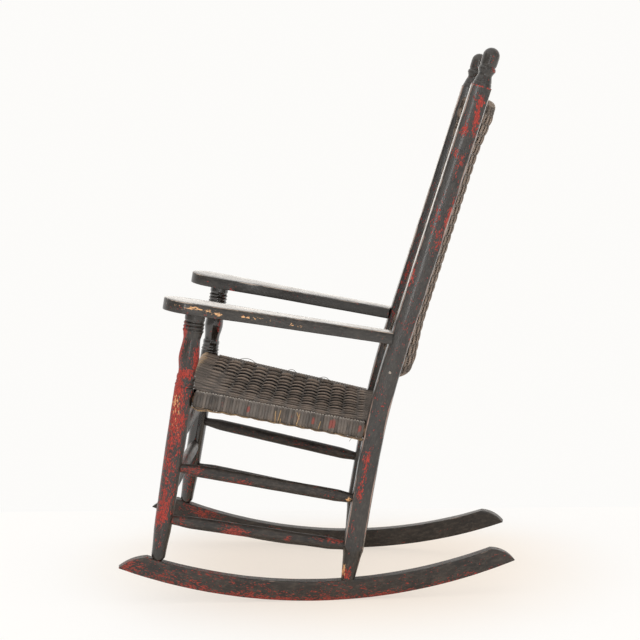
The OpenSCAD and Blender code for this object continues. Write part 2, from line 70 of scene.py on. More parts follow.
class Layer(Enum):
    """What shows where the black paint has gone; the value is the attribute's name."""

    RED = "wear"
    BARE = "bare"
    RUBBED = "rub"


# ---------------------------------------------------------------- shader maths


Number = Union[float, "Signal"]


class Signal:
    """A shader socket that reads as a number in an expression."""

    def __init__(self, shader: "Shader", socket: Any) -> None:
        """Wraps a socket of a shader's tree."""
        self.shader = shader
        self.socket = socket

    def __add__(self, other: Number) -> "Signal":
        """Adds."""
        return self.shader.math("ADD", self, other)

    def __sub__(self, other: Number) -> "Signal":
        """Subtracts."""
        return self.shader.math("SUBTRACT", self, other)

    def __rsub__(self, other: Number) -> "Signal":
        """Subtracts this from a number."""
        return self.shader.math("SUBTRACT", other, self)

    def __mul__(self, other: Number) -> "Signal":
        """Multiplies."""
        return self.shader.math("MULTIPLY", self, other)

    __radd__ = __add__
    __rmul__ = __mul__

    def step(self, low: float, high: float) -> "Signal":
        """Rises smoothly from 0 at low to 1 at high.

        Args:
            low: where it leaves 0.
            high: where it reaches 1.

        Returns:
            The eased signal.
        """
        return self.shader.node(
            "ShaderNodeMapRange",
            {"interpolation_type": "SMOOTHSTEP"},
            {"Value": self, "From Min": low, "From Max": high},
        )


class Shader:
    """One material's node tree and the ways to add to it."""

    def __init__(self, name: str, world: Optional[bpy.types.World] = None) -> None:
        """Makes a material that holds a Principled shader and its output, or takes a world's tree.

        Args:
            name: the material's name.
            world: the world, if its tree is taken.
        """
        self.material = world or bpy.data.materials.new(name)
        self.material.use_nodes = True
        self.tree = self.material.node_tree
        self.surface = self.tree.nodes["Background" if world else "Principled BSDF"]

    def node(
        self,
        kind: str,
        settings: Optional[dict[str, Any]] = None,
        sockets: Optional[dict[Any, Any]] = None,
        output: Any = 0,
    ) -> Signal:
        """Adds a node.

        Args:
            kind: the node's type.
            settings: its properties, set before its sockets.
            sockets: values or signals for its inputs, by name or index.
            output: name or index of the output that is returned.

        Returns:
            The chosen output.
        """
        made = self.tree.nodes.new(kind)
        for key, value in (settings or {}).items():
            setattr(made, key, value)
        for key, value in (sockets or {}).items():
            self.feed(made.inputs[key], value)
        return Signal(self, made.outputs[output])

    def feed(self, socket: Any, value: Any) -> None:
        """Links a signal to a socket, or sets the socket's own value.

        Args:
            socket: an input.
            value: a signal, a number, a colour or a vector.
        """
        if isinstance(value, Signal):
            self.tree.links.new(value.socket, socket)
        elif isinstance(value, tuple) and len(value) == 3 and socket.type == "RGBA":
            socket.default_value = (*value, 1.0)
        else:
            socket.default_value = value

    def math(self, operation: str, a: Number, b: Number) -> Signal:
        """Adds one Math node on two values."""
        return self.node("ShaderNodeMath", {"operation": operation}, {0: a, 1: b})

    def place(self, output: str = "Object") -> Signal:
        """Reads where the shaded point is, or for a world which way it is seen."""
        return self.node("ShaderNodeTexCoord", None, None, output)

    def ray(self, kind: str) -> Signal:
        """1 for rays of one kind, as Light Path names them."""
        return self.node("ShaderNodeLightPath", None, None, kind)

    def toward(self, vector: Signal, direction: Triple) -> Signal:
        """How far a vector reaches in a direction."""
        return self.node("ShaderNodeVectorMath", {"operation": "DOT_PRODUCT"}, {0: vector, 1: direction}, "Value")

    def stretch(self, vector: Signal, by: Triple) -> Signal:
        """Scales a vector along its three axes."""
        return self.node("ShaderNodeVectorMath", {"operation": "MULTIPLY"}, {0: vector, 1: by})

    def blend(self, share: Number, a: Any, b: Any) -> Signal:
        """Mixes two colours: a where share is 0, b where it is 1."""
        return self.node("ShaderNodeMix", {"data_type": "RGBA"}, {0: share, 6: a, 7: b}, 2)

    def attribute(self, name: str, output: str = "Fac") -> Signal:
        """Reads an attribute of the piece."""
        return self.node("ShaderNodeAttribute", {"attribute_name": name}, None, output)

    def grain(self, vector: Signal, scale: float, detail: float = 3.0, rough: float = 0.55) -> Signal:
        """Adds fractal noise on a vector."""
        sockets = {"Vector": vector, "Scale": scale, "Detail": detail, "Roughness": rough}
        return self.node("ShaderNodeTexNoise", None, sockets)

    def bump(self, height: Signal, strength: float, distance: float) -> None:
        """Lets a height tilt the surface."""
        sockets = {"Height": height, "Strength": strength, "Distance": distance}
        self.feed(self.surface.inputs["Normal"], self.node("ShaderNodeBump", None, sockets))

    def set(self, **values: Any) -> None:
        """Sets or links the surface's sockets; _ stands for a space in their names."""
        for key, value in values.items():
            self.feed(self.surface.inputs[key.replace("_", " ")], value)


# -------------------------------------------------------------------- finishes


@dataclass(frozen=True)
class WornPaint:
    """Old black paint over red, worn in flecks along the grain and rubbed on the arrises."""

    name: str = "worn_black_over_red_paint"
    black: Triple = (0.0105, 0.0080, 0.0062)
    dusty: Triple = (0.054, 0.045, 0.036)
    red: Triple = (0.44, 0.034, 0.018)
    dark_red: Triple = (0.17, 0.018, 0.012)
    bare: Triple = (0.70, 0.38, 0.17)
    rubbed: Triple = (0.38, 0.26, 0.21)
    streak: Triple = (1.0, 1.0, 0.42)
    scuff: Triple = (1.0, 1.0, 0.12)
    brush: Triple = (1.0, 1.0, 0.03)
    red_edge: tuple[float, float] = (0.655, 0.695)
    bare_edge: tuple[float, float] = (0.755, 0.785)
    rub_edge: tuple[float, float] = (0.70, 0.80)
    gloss: float = 0.27
    coat: float = 0.35
    coat_rough: float = 0.14
    ripple: float = 0.40
    ripple_height: float = 0.0012

    def material(self) -> Material:
        """Builds the material from the grain, wear, bare and rub attributes.

        Returns:
            The material.
        """
        shader = Shader(self.name)
        along = shader.attribute("grain", "Vector")
        streaks = shader.stretch(along, self.streak)
        patches = shader.grain(streaks, 85.0, 3.0, 0.6)
        flecks = shader.grain(streaks, 400.0, 2.0, 0.6)
        level = patches * 0.36 + flecks * 0.64
        red = (level + shader.attribute("wear") * 0.28).step(*self.red_edge)
        chips = shader.grain(streaks, 310.0, 3.0, 0.65)
        bare = (chips + shader.attribute("bare") * 0.34).step(*self.bare_edge)
        scuffs = shader.grain(shader.stretch(along, self.scuff), 120.0, 4.0, 0.65)
        rub = (scuffs + shader.attribute("rub") * 0.30).step(*self.rub_edge)
        cloud = shader.grain(along, 16.0, 4.0, 0.6).step(0.35, 0.7)
        mottle = shader.grain(streaks, 190.0, 3.0, 0.7).step(0.36, 0.68)
        dust = shader.grain(along, 900.0, 2.0, 0.5).step(0.5, 0.85)
        faded = cloud * 0.30 + shader.math("POWER", mottle, 1.6) * 0.50 + dust * 0.20
        black = shader.blend(faded, self.black, self.dusty)
        brighter = shader.grain(streaks, 600.0, 2.0, 0.5).step(0.38, 0.62)
        colour = shader.blend(red, black, shader.blend(brighter, self.dark_red, self.red))
        colour = shader.blend(rub * 0.8, colour, self.rubbed)
        colour = shader.blend(bare, colour, self.bare)
        lines = shader.grain(shader.stretch(along, self.brush), 1100.0, 2.0, 0.5)
        height = lines * 0.30 + mottle * 0.30 + patches * 0.25 - red * 0.45 - bare * 0.5
        shader.bump(height, self.ripple, self.ripple_height)
        shader.set(
            Base_Color=colour,
            Roughness=cloud * 0.10 + mottle * 0.10 + red * 0.26 + bare * 0.2 + dust * 0.12 + self.gloss,
            Coat_Weight=self.coat - red * self.coat,
            Coat_Roughness=self.coat_rough,
        )
        return shader.material


DRY_PAINT = WornPaint(
    name="dry_black_over_red_paint",
    dusty=(0.074, 0.058, 0.046),
    red=(0.34, 0.048, 0.030),
    dark_red=(0.12, 0.020, 0.015),
    gloss=0.44,
    coat=0.06,
)
# the arms' paint: its light rubbed colour stands for real rubbing and for a painted sheen on the arm tops
POLISHED_SHEEN_PAINT = WornPaint(
    name="polished_sheen_black_over_red_paint",
    rubbed=(0.52, 0.40, 0.31),
    ripple=0.12,
)
SHINY_PAINT = WornPaint(
    name="shiny_black_over_red_paint",
    dusty=(0.026, 0.022, 0.018),
    gloss=0.10,
    coat=0.9,
    ripple=0.12,
)


@dataclass(frozen=True)
class RushFinish:
    """Twisted rush strands under old dark stain; painted light makes them browner on their crests and dark in the
    pits between them.
    """

    name: str = "dark_rush"
    pit_shade: Triple = (0.0080, 0.0062, 0.0050)
    brown: Triple = (0.285, 0.214, 0.166)
    slate: Triple = (0.148, 0.137, 0.127)
    dark_slate: Triple = (0.050, 0.045, 0.041)
    raw: Triple = (0.42, 0.275, 0.14)
    red: Triple = (0.26, 0.068, 0.055)
    dust: Triple = (0.80, 0.66, 0.54)
    fibre: Triple = (60.0, 7.0, 1.0)
    blotch: Triple = (30.0, 0.6, 1.0)
    red_edge: tuple[float, float] = (0.72, 0.80)
    raw_edge: tuple[float, float] = (0.74, 0.80)
    shine: float = 0.22
    sheen: float = 0.45
    sheen_rough: float = 0.35

    def material(self) -> Material:
        """Builds the material from each strand's own map and attributes.

        Returns:
            The material.
        """
        shader = Shader(self.name)
        run = shader.node("ShaderNodeUVMap", {"uv_map": "strand"})
        fibres = shader.grain(shader.stretch(run, self.fibre), 1.0, 3.0, 0.6)
        blotch = shader.grain(shader.stretch(run, self.blotch), 1.0, 3.0, 0.6)
        tone = shader.attribute("tone")
        crest = shader.attribute("crest")
        # painted light and shade: strands brown on their crests, nearly black in the pits, mixed with their own
        # tone and fibres
        lit = (crest * 0.98 + tone * 0.50 + fibres * 0.7 - 0.86).step(0.0, 1.0)
        colour = shader.blend(lit, self.pit_shade, self.brown)
        slate = shader.blend(tone * 0.7 + fibres * 0.6 - 0.15, self.dark_slate, self.slate)
        slate = shader.blend(blotch.step(0.35, 0.65) * 0.25, slate, self.brown)
        colour = shader.blend(shader.attribute("painted") * 0.85, colour, slate)
        red = (blotch * 0.6 + fibres * 0.4 + shader.attribute("wear") * 0.5).step(*self.red_edge)
        colour = shader.blend(red * 0.85, colour, self.red)
        raw = (fibres * 0.6 + blotch * 0.4 + shader.attribute("bare") * 0.5).step(*self.raw_edge)
        colour = shader.blend(raw, colour, self.raw)
        shader.bump(fibres, 0.5, 0.0006)
        shader.set(
            Base_Color=colour,
            Roughness=0.46 + fibres * 0.16 + raw * 0.25,
            Specular_IOR_Level=self.shine,
            Sheen_Weight=self.sheen,
            Sheen_Roughness=self.sheen_rough,
            Sheen_Tint=self.dust,
        )
        return shader.material


@dataclass(frozen=True)
class RailWood:
    """Plain brown wood of the rails inside the weave."""

    name: str = "dull_rail_wood"
    light: Triple = (0.22, 0.125, 0.062)
    dark: Triple = (0.075, 0.042, 0.024)

    def material(self) -> Material:
        """Builds the material; the rails run across the chair or along it.

        Returns:
            The material.
        """
        shader = Shader(self.name)
        place = shader.place()
        streaks = shader.grain(shader.stretch(place, (0.2, 1.0, 1.0)), 160.0, 5.0, 0.65)
        shade = shader.grain(place, 18.0, 3.0, 0.5)
        colour = shader.blend((streaks * 0.7 + shade * 0.3).step(0.35, 0.65), self.dark, self.light)
        shader.bump(streaks, 0.4, 0.0008)
        shader.set(Base_Color=colour, Roughness=0.55 + streaks * 0.2)
        return shader.material


@dataclass(frozen=True)
class OldSteel:
    """Dull steel of the nails, rusted in spots."""

    name: str = "old_nail_steel"
    steel: Triple = (0.50, 0.47, 0.42)
    rust: Triple = (0.20, 0.085, 0.035)

    def material(self) -> Material:
        """Builds the material.

        Returns:
            The material.
        """
        shader = Shader(self.name)
        place = shader.place()
        spots = shader.grain(place, 900.0, 4.0, 0.65).step(0.45, 0.62)
        shader.set(
            Base_Color=shader.blend(spots, self.steel, self.rust),
            Roughness=0.35 + spots * 0.4,
            Metallic=0.9 - spots * 0.7,
        )
        return shader.material


# ------------------------------------------------------------------- the plan


def smooth(t: Any) -> Any:
    """Eases 0 to 1."""
    t = np.clip(t, 0.0, 1.0)
    return t * t * (3 - 2 * t)


def soft_wave(t: Any, square: float = 1.4) -> Any:
    """A cosine of half waves with flattened crests: 1 at t 0, -1 at t 1."""
    return np.tanh(square * np.cos(np.pi * t)) / math.tanh(square)


@dataclass(frozen=True)
class Plan:
    """The chair's own sizes, as the source of its solids gives them."""

    front_half: float = 0.255
    back_half: float = 0.205
    foot_spread: float = 0.396
    front_foot_reach: float = 0.334
    rocker_radius: float = 1.15
    rocker_reach: float = 0.415
    roll_y: float = 0.0042
    rocker_depth: float = 0.041
    rocker_thickness: float = 0.026
    front_nose: float = 0.060
    back_nose: float = 0.051
    front_lean: float = math.radians(9.3)
    front_post_d: float = 0.041
    front_foot_d: float = 0.0285
    back_post_depth: float = 0.0405
    back_post_width: float = 0.038
    back_foot_d: float = 0.029
    lean_low: float = math.radians(9.6)
    lean_high: float = math.radians(17.3)
    bend_start: float = 0.297
    bend_length: float = 0.226
    chair_height: float = 1.150
    arm_height: float = 0.613
    arm_thickness: float = 0.024
    arm_fall: float = math.radians(9.4)

    @property
    def toe(self) -> float:
        """Angle by which the sides close towards the back."""
        return math.atan((self.front_half - self.back_half) / self.foot_spread)

    @property
    def back_foot_y(self) -> float:
        """Y of the back foot."""
        return self.foot_spread - self.front_foot_reach

    @property
    def rocker_mid_x(self) -> float:
        """X of the left rocker at its lowest point."""
        return self.front_half - (self.front_foot_reach + self.roll_y) * math.tan(self.toe)

    def rocker_top(self, u: Any) -> Any:
        """Height of a rocker's top edge at distance u from its lowest point."""
        inner = self.rocker_radius - self.rocker_depth
        return self.rocker_radius - np.sqrt(inner * inner - u * u)

    def rocker_bottom(self, u: Any) -> Any:
        """Height of a rocker's bottom edge."""
        return self.rocker_radius - np.sqrt(self.rocker_radius**2 - u * u)

    def along_rocker(self, y: float) -> float:
        """Distance along a rocker to the place at Y."""
        return (y - self.roll_y) / math.cos(self.toe)

    @property
    def front_foot_z(self) -> float:
        """Height of the front foot on the rocker."""
        return float(self.rocker_top(self.along_rocker(-self.front_foot_reach)))

    @property
    def back_foot_z(self) -> float:
        """Height of the back foot on the rocker."""
        return float(self.rocker_top(self.along_rocker(self.back_foot_y)))

    @property
    def bend_radius(self) -> float:
        """Radius of the back post's bend."""
        return self.bend_length / (self.lean_high - self.lean_low)

    @property
    def bend_y(self) -> float:
        """Y of the back post where its bend starts."""
        return self.back_foot_y + (self.bend_start - self.back_foot_z) * math.tan(self.lean_low)

    @property
    def bend_end(self) -> tuple[float, float]:
        """(Y, Z) of the back post where its bend ends.

        Returns:
            Y and Z there.
        """
        r, low, high = self.bend_radius, self.lean_low, self.lean_high
        y = self.bend_y + r * (math.cos(low) - math.cos(high))
        return y, self.bend_start + r * (math.sin(high) - math.sin(low))

    def front_at(self, z: float, side: int = 1) -> np.ndarray:
        """Point on a front post's axis at height z."""
        y = -self.front_foot_reach + (z - self.front_foot_z) * math.tan(self.front_lean)
        return np.array([side * self.front_half, y, z])

    def back_at(self, z: float, side: int = 1) -> np.ndarray:
        """Point on a back post's axis at height z.

        Args:
            z: the height.
            side: 1 for the left post, -1 for the right one.

        Returns:
            The point.
        """
        end_y, end_z = self.bend_end
        if z < self.bend_start:
            y = self.back_foot_y + (z - self.back_foot_z) * math.tan(self.lean_low)
        elif z < end_z:
            lean = math.asin((z - self.bend_start) / self.bend_radius + math.sin(self.lean_low))
            y = self.bend_y + self.bend_radius * (math.cos(self.lean_low) - math.cos(lean))
        else:
            y = end_y + (z - end_z) * math.tan(self.lean_high)
        return np.array([side * self.back_half, y, z])


# ------------------------------------------------------------ modelling at the bench


@dataclass
class Rings:
    """A bar's sections from end to end, for the bench to shape a blank to.

    points is (rings, sides, 3) in place, grain the same points in the bar's own
    straightened axes with its length as the third, arris (rings, sides) is 1 on
    a corner.
    """

    points: np.ndarray
    grain: np.ndarray
    arris: np.ndarray


@dataclass(frozen=True)
class Patch:
    """A worn place: where it is in the bar's own axes, how far it reaches, how worn."""

    at: Triple
    reach: Triple
    amount: float
    layer: Layer = Layer.RED


WearBySide = dict[Side, tuple[Patch, ...]]


def split_to_tens(marks: np.ndarray) -> np.ndarray:
    """Halves the widest gaps until there is one mark more than a multiple of ten.

    Args:
        marks: distances, in order.

    Returns:
        The distances with the new ones among them.
    """
    while len(marks) % 10 != 1:
        widest = int(np.argmax(np.diff(marks)))
        marks = np.insert(marks, widest + 1, (marks[widest] + marks[widest + 1]) / 2)
    return marks


def stations(*spans: Triple) -> np.ndarray:
    """Distances along a bar, one more than a multiple of ten.

    Args:
        spans: (from, to, step) of each stretch, joined end to end.

    Returns:
        The distances, in order.
    """
    marks: list[float] = [spans[0][0]]
    for start, end, gap in spans:
        count = max(1, round((end - start) / gap))
        marks += list(np.linspace(start, end, count + 1)[1:])
    return split_to_tens(np.array(marks))


def round_section(sides: int) -> np.ndarray:
    """Directions round a turned bar."""
    turn = 2 * np.pi * np.arange(sides) / sides
    return np.stack([np.cos(turn), np.sin(turn)], 1)


def squared_section(
    half_a: float,
    half_b: float,
    corner: float,
    crown: float = 0.0,
    per_corner: int = 6,
    per_side: int = 4,
) -> tuple[np.ndarray, np.ndarray]:
    """Points round a squared bar with softened corners.

    Args:
        half_a: half its size along the first axis.
        half_b: half its size along the second axis.
        corner: radius of its corners.
        crown: how far each side bulges at its middle.
        per_corner: points round each corner.
        per_side: points between two corners.

    Returns:
        The points and how near each is to the middle of a corner, 0 to 1.
    """
    corner = min(corner, half_a * 0.98, half_b * 0.98)
    points, arris = [], []
    corners = [(1, 1), (-1, 1), (-1, -1), (1, -1)]
    for index, (sa, sb) in enumerate(corners):
        centre = np.array([sa * (half_a - corner), sb * (half_b - corner)])
        for k in range(per_corner):
            turn = np.pi / 2 * (index + k / (per_corner - 1))
            points.append(centre + corner * np.array([math.cos(turn), math.sin(turn)]))
            arris.append(math.sin(math.pi * (k + 0.35) / (per_corner - 0.3)) ** 3)
        nxt = corners[(index + 1) % 4]
        last = points[-1]
        first = np.array([nxt[0] * (half_a - corner), nxt[1] * (half_b - corner)])
        turn = np.pi / 2 * (index + 1)
        first = first + corner * np.array([math.cos(turn), math.sin(turn)])
        outward = np.array([math.cos(turn), math.sin(turn)])
        for k in range(1, per_side + 1):
            t = k / (per_side + 1)
            points.append(last + (first - last) * t + outward * crown * 4 * t * (1 - t))
            arris.append(0.0)
    return np.array(points), np.array(arris)


def face_outward() -> None:
    """Turns the active piece's faces outward."""
    bpy.ops.object.mode_set(mode="EDIT")
    bpy.ops.mesh.select_all(action="SELECT")
    bpy.ops.mesh.normals_make_consistent(inside=False)
    bpy.ops.object.mode_set(mode="OBJECT")


class Bench:
    """Shapes blanks into the chair's wooden pieces."""

    @staticmethod
    def shift(offset: float) -> np.ndarray:
        """How far an offset moves the pattern of the wear along each axis."""
        return np.array([offset, offset * 0.37, offset * 0.71])

    def blank(self, name: str, sides: int, rings: int) -> tuple[Piece, np.ndarray]:
        """Makes a rod one metre long and marks it out in rings.

        Args:
            name: the piece's name.
            sides: points round it.
            rings: sections along it, one more than a multiple of ten.

        Returns:
            The rod, and for each of its vertices the ring and the side it is on.
        """
        bpy.ops.object.select_all(action="DESELECT")
        bpy.ops.mesh.primitive_cylinder_add(vertices=sides, radius=1.0, depth=1.0, end_fill_type="NGON")
        rod = bpy.context.object
        rod.name = rod.data.name = name
        bpy.ops.object.mode_set(mode="EDIT")
        bpy.ops.mesh.select_mode(type="EDGE")
        for cuts in ((rings - 1) // 10 - 1, 9):
            if cuts < 1:
                continue
            bpy.ops.mesh.select_all(action="DESELECT")
            mesh = bmesh.from_edit_mesh(rod.data)
            for edge in mesh.edges:
                low, high = edge.verts
                edge.select_set(abs(low.co.z - high.co.z) > 1e-6)
            bmesh.update_edit_mesh(rod.data)
            bpy.ops.mesh.subdivide(number_cuts=cuts)
        bpy.ops.object.mode_set(mode="OBJECT")
        places = np.empty(len(rod.data.vertices) * 3)
        rod.data.vertices.foreach_get("co", places)
        places = places.reshape(-1, 3)
        ring = np.rint((places[:, 2] + 0.5) * (rings - 1)).astype(int)
        turn = np.arctan2(places[:, 1], places[:, 0]) / (2 * np.pi) * sides
        start = turn[ring == 0].min() % 1.0
        side = np.rint(turn - start).astype(int) % sides
        return rod, np.stack([ring, side], 1)

    def shape(self, name: str, rings: Rings, offset: float, uneven: float) -> Piece:
        """Shapes a blank to a bar's sections and marks its grain and arrises.

        Args:
            name: the piece's name.
            rings: the sections.
            offset: moves the pattern of the wear, so that no two pieces match.
            uneven: how far hand work leaves the surface from true.

        Returns:
            The shaped piece.
        """
        count, sides = rings.points.shape[:2]
        piece, marks = self.blank(name, sides, count)
        ring, side = marks[:, 0], marks[:, 1]
        places = rings.points[ring, side]
        middle = rings.points.mean(1)[ring]
        outward = places - middle
        outward /= np.maximum(np.linalg.norm(outward, axis=1, keepdims=True), 1e-9)
        wobble = np.array([noise.noise(Vector((p * 28 + offset).tolist())) for p in places])
        places = places + outward * (wobble * uneven)[:, None]
        piece.data.vertices.foreach_set("co", places.astype(np.float32).ravel())
        grain = piece.data.attributes.new("grain", "FLOAT_VECTOR", "POINT")
        shifted = rings.grain[ring, side] + self.shift(offset)
        grain.data.foreach_set("vector", shifted.astype(np.float32).ravel())
        self.write(piece, Layer.RUBBED.value, rings.arris[ring, side])
        piece.data.update()
        face_outward()
        bpy.ops.object.shade_smooth_by_angle(angle=math.radians(38))
        return piece

    @staticmethod
    def write(piece: Piece, name: str, values: np.ndarray) -> None:
        """Writes a number for each vertex of a piece."""
        found = piece.data.attributes.get(name) or piece.data.attributes.new(name, "FLOAT", "POINT")
        found.data.foreach_set("value", np.asarray(values, np.float32))

    @staticmethod
    def read(piece: Piece, name: str, width: int) -> np.ndarray:
        """Reads an attribute of a piece's vertices.

        Args:
            piece: a shaped piece.
            name: the attribute's name.
            width: 3 for a vector, 1 for a number.

        Returns:
            The attribute, one row or number for each vertex.
        """
        values = np.empty(len(piece.data.vertices) * width, np.float32)
        piece.data.attributes[name].data.foreach_get("vector" if width == 3 else "value", values)
        return values.reshape(-1, width) if width > 1 else values

    def wear(
        self,
        piece: Piece,
        offset: float,
        base: float,
        patches: Iterable[Patch],
        arris: float,
    ) -> None:
        """Paints where a piece is worn.

        Args:
            piece: a shaped piece.
            offset: the offset that it was shaped with.
            base: how worn the red layer is all over.
            patches: the worn places.
            arris: how much its corners are rubbed.
        """
        places = self.read(piece, "grain", 3) - self.shift(offset)
        rub = self.read(piece, Layer.RUBBED.value, 1) * arris
        amounts = {
            Layer.RED: np.full(len(places), base),
            Layer.BARE: np.zeros(len(places)),
            Layer.RUBBED: rub,
        }
        for patch in patches:
            away = (places - np.array(patch.at)) / np.array(patch.reach)
            amounts[patch.layer] = amounts[patch.layer] + patch.amount * np.exp(-(away**2).sum(1))
        for layer, amount in amounts.items():
            self.write(piece, layer.value, np.clip(amount, 0.0, 1.15))


def install(piece: Piece, material: Material, slot: str, *nodes: str) -> None:
    """Gives a piece its finish and lets it stand for its nodes.

    Args:
        piece: a finished piece.
        material: its finish.
        slot: not used.
        nodes: the nodes whose solids it stands for.
    """
    piece.data.materials.clear()
    piece.data.materials.append(material)
    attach(piece, BODY)
    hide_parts(*nodes)
    log.info("%s: %d faces", piece.name, len(piece.data.polygons))


# ------------------------------------------------------------------ wooden parts


def turned_rings(
    start: np.ndarray,
    end: np.ndarray,
    marks: np.ndarray,
    radii: np.ndarray,
    sides: int = 32,
    outer: float = 1.0,
) -> Rings:
    """Sections of a turned bar.

    Args:
        start: where distance 0 is.
        end: a point further along the axis.
        marks: distances of the sections.
        radii: their radii.
        sides: points round each.
        outer: which way along X the bar's own first axis points.

    Returns:
        The sections.
    """
    axis = (end - start) / np.linalg.norm(end - start)
    first = np.array([outer, 0.0, 0.0])
    first = first - axis * first.dot(axis)
    if np.linalg.norm(first) < 0.3:
        first = np.array([0.0, 1.0, 0.0]) - axis * axis[1]
    first = first / np.linalg.norm(first)
    second = np.cross(axis, first) * outer
    ring = round_section(sides)
    flat = ring[None] * radii[:, None, None]
    centre = start + axis * marks[:, None]
    points = centre[:, None] + flat[..., :1] * first + flat[..., 1:] * second
    length = np.broadcast_to(marks[:, None, None], flat.shape[:2] + (1,))
    return Rings(points, np.concatenate([flat, length], 2), np.zeros(flat.shape[:2]))


@dataclass
class Woodwork:
    """A sub-assembly of painted wood.

    offset moves the pattern of the wear, so that no two pieces match, uneven is
    how far hand work leaves them from true, rub is how much their corners are
    rubbed.
    """

    plan: Plan
    bench: Bench
    offset: float = 0.0
    uneven: float = 0.0003
    rub: float = 1.0

    def make(
        self,
        index: int,
        node: str,
        form: str,
        rings: Rings,
        wear: tuple[float, Iterable[Patch]],
        material: Material,
    ) -> None:
        """Shapes one piece, wears it and lets it stand for its node.

        Args:
            index: its number in the sub-assembly.
            node: the name of its node.
            form: what its own name adds to that.
            rings: its sections.
            wear: how worn it is all over, and its worn places.
            material: its paint.
        """
        offset = self.offset + index
        piece = self.bench.shape(f"{node}_{form}", rings, offset, self.uneven)
        self.bench.wear(piece, offset, *wear, self.rub)
        install(piece, material, "painted_wood", node)


@dataclass
class Twins(Woodwork):
    """Painted pieces of one form, on the sitter's left and right."""

    stem: str = ""
    form: str = ""
    all_over: dict[Side, float] = field(default_factory=dict)
    wear: WearBySide = field(default_factory=dict)

    def sections(self, side: Side) -> Rings:
        """Works out one piece's sections."""
        raise NotImplementedError

    def build(self, material: Material) -> None:
        """Makes both pieces.

        Args:
            material: their paint.
        """
        for index, side in enumerate(Side):
            wear = self.all_over[side], self.wear[side]
            self.make(index, f"{self.stem}_{side.name.lower()}", self.form, self.sections(side), wear, material)


@dataclass
class Rockers(Twins):
    """The two curved boards that the chair stands and rolls on."""

    stem: str = "rocker"
    form: str = "board"
    offset: float = 3.1
    rub: float = 0.55
    corner: float = 0.0024
    tip: float = 0.004
    all_over: dict[Side, float] = field(default_factory=lambda: {Side.LEFT: 0.19, Side.RIGHT: 0.05})
    wear: WearBySide = field(default_factory=lambda: {
        Side.LEFT: (
            Patch((0.013, 0.0, -0.32), (0.02, 0.03, 0.13), 0.28),
            Patch((0.013, 0.0, -0.405), (0.02, 0.03, 0.03), 0.3),
            Patch((0.013, -0.014, -0.02), (0.02, 0.014, 0.24), 0.16),
            Patch((0.013, -0.019, 0.0), (0.04, 0.006, 0.34), 0.54),
            Patch((0.013, 0.006, 0.04), (0.02, 0.012, 0.05), 0.2),
            Patch((0.004, 0.02, -0.22), (0.02, 0.006, 0.05), 0.3),
            Patch((0.013, 0.004, -0.14), (0.02, 0.01, 0.05), 0.18),
        ),
        Side.RIGHT: (
            Patch((-0.013, 0.01, -0.3), (0.02, 0.02, 0.05), 0.65),
            Patch((0.013, 0.004, -0.27), (0.02, 0.014, 0.05), 0.6),
            Patch((0.013, -0.012, 0.0), (0.02, 0.012, 0.3), 0.3),
        ),
    })

    def sections(self, side: Side) -> Rings:
        """Works out the board's sections, with its tapered front and rounded back nose.

        Args:
            side: which rocker.

        Returns:
            Its sections.
        """
        plan = self.plan
        back = plan.along_rocker(plan.rocker_reach)
        front = plan.along_rocker(-plan.rocker_reach)
        tip = self.tip
        marks = stations(
            (front + 0.0006, front + tip, 0.0012),
            (front + tip, front + plan.front_nose, 0.004),
            (front + plan.front_nose, back - plan.back_nose, 0.008),
            (back - plan.back_nose, back - tip, 0.0035),
            (back - tip, back - 0.0006, 0.0012),
        )
        points, grain, arris = [], [], []
        toe = side.value * plan.toe
        along = np.array([-math.sin(toe), math.cos(toe), 0.0])
        across = np.array([math.cos(toe), math.sin(toe), 0.0]) * side.value
        origin = np.array([side.value * plan.rocker_mid_x, plan.roll_y, 0.0])
        for u in marks:
            low = float(plan.rocker_bottom(u))
            high = float(plan.rocker_top(u))
            for nose, reach in ((plan.front_nose, front), (plan.back_nose, back)):
                beyond = nose - abs(reach - u)
                if beyond > 0:
                    peak = reach - math.copysign(nose, reach)
                    rise = float(plan.rocker_top(peak) - plan.rocker_bottom(reach))
                    r = (nose * nose + rise * rise) / (2 * rise)
                    high = float(plan.rocker_top(peak)) - r + math.sqrt(max(r * r - beyond * beyond, 0.0))
            ends = min(abs(u - front), abs(back - u))
            width = plan.rocker_thickness / 2 - max(0.0, 0.003 - ends) * 0.8
            half = max((high - low) / 2, 0.0006)
            section, corners = squared_section(width, half, self.corner, 0.0, 5, 5)
            middle = origin + along * u + np.array([0.0, 0.0, low + half])
            points.append(middle + section[:, :1] * across + section[:, 1:] * np.array([0.0, 0.0, 1.0]))
            height = section[:, 1] * min(1.0, 0.0205 / half) if half < 0.02 else section[:, 1]
            grain.append(np.stack([section[:, 0], height, np.full(len(section), u)], 1))
            arris.append(corners)
        return Rings(np.array(points), np.array(grain), np.array(arris))


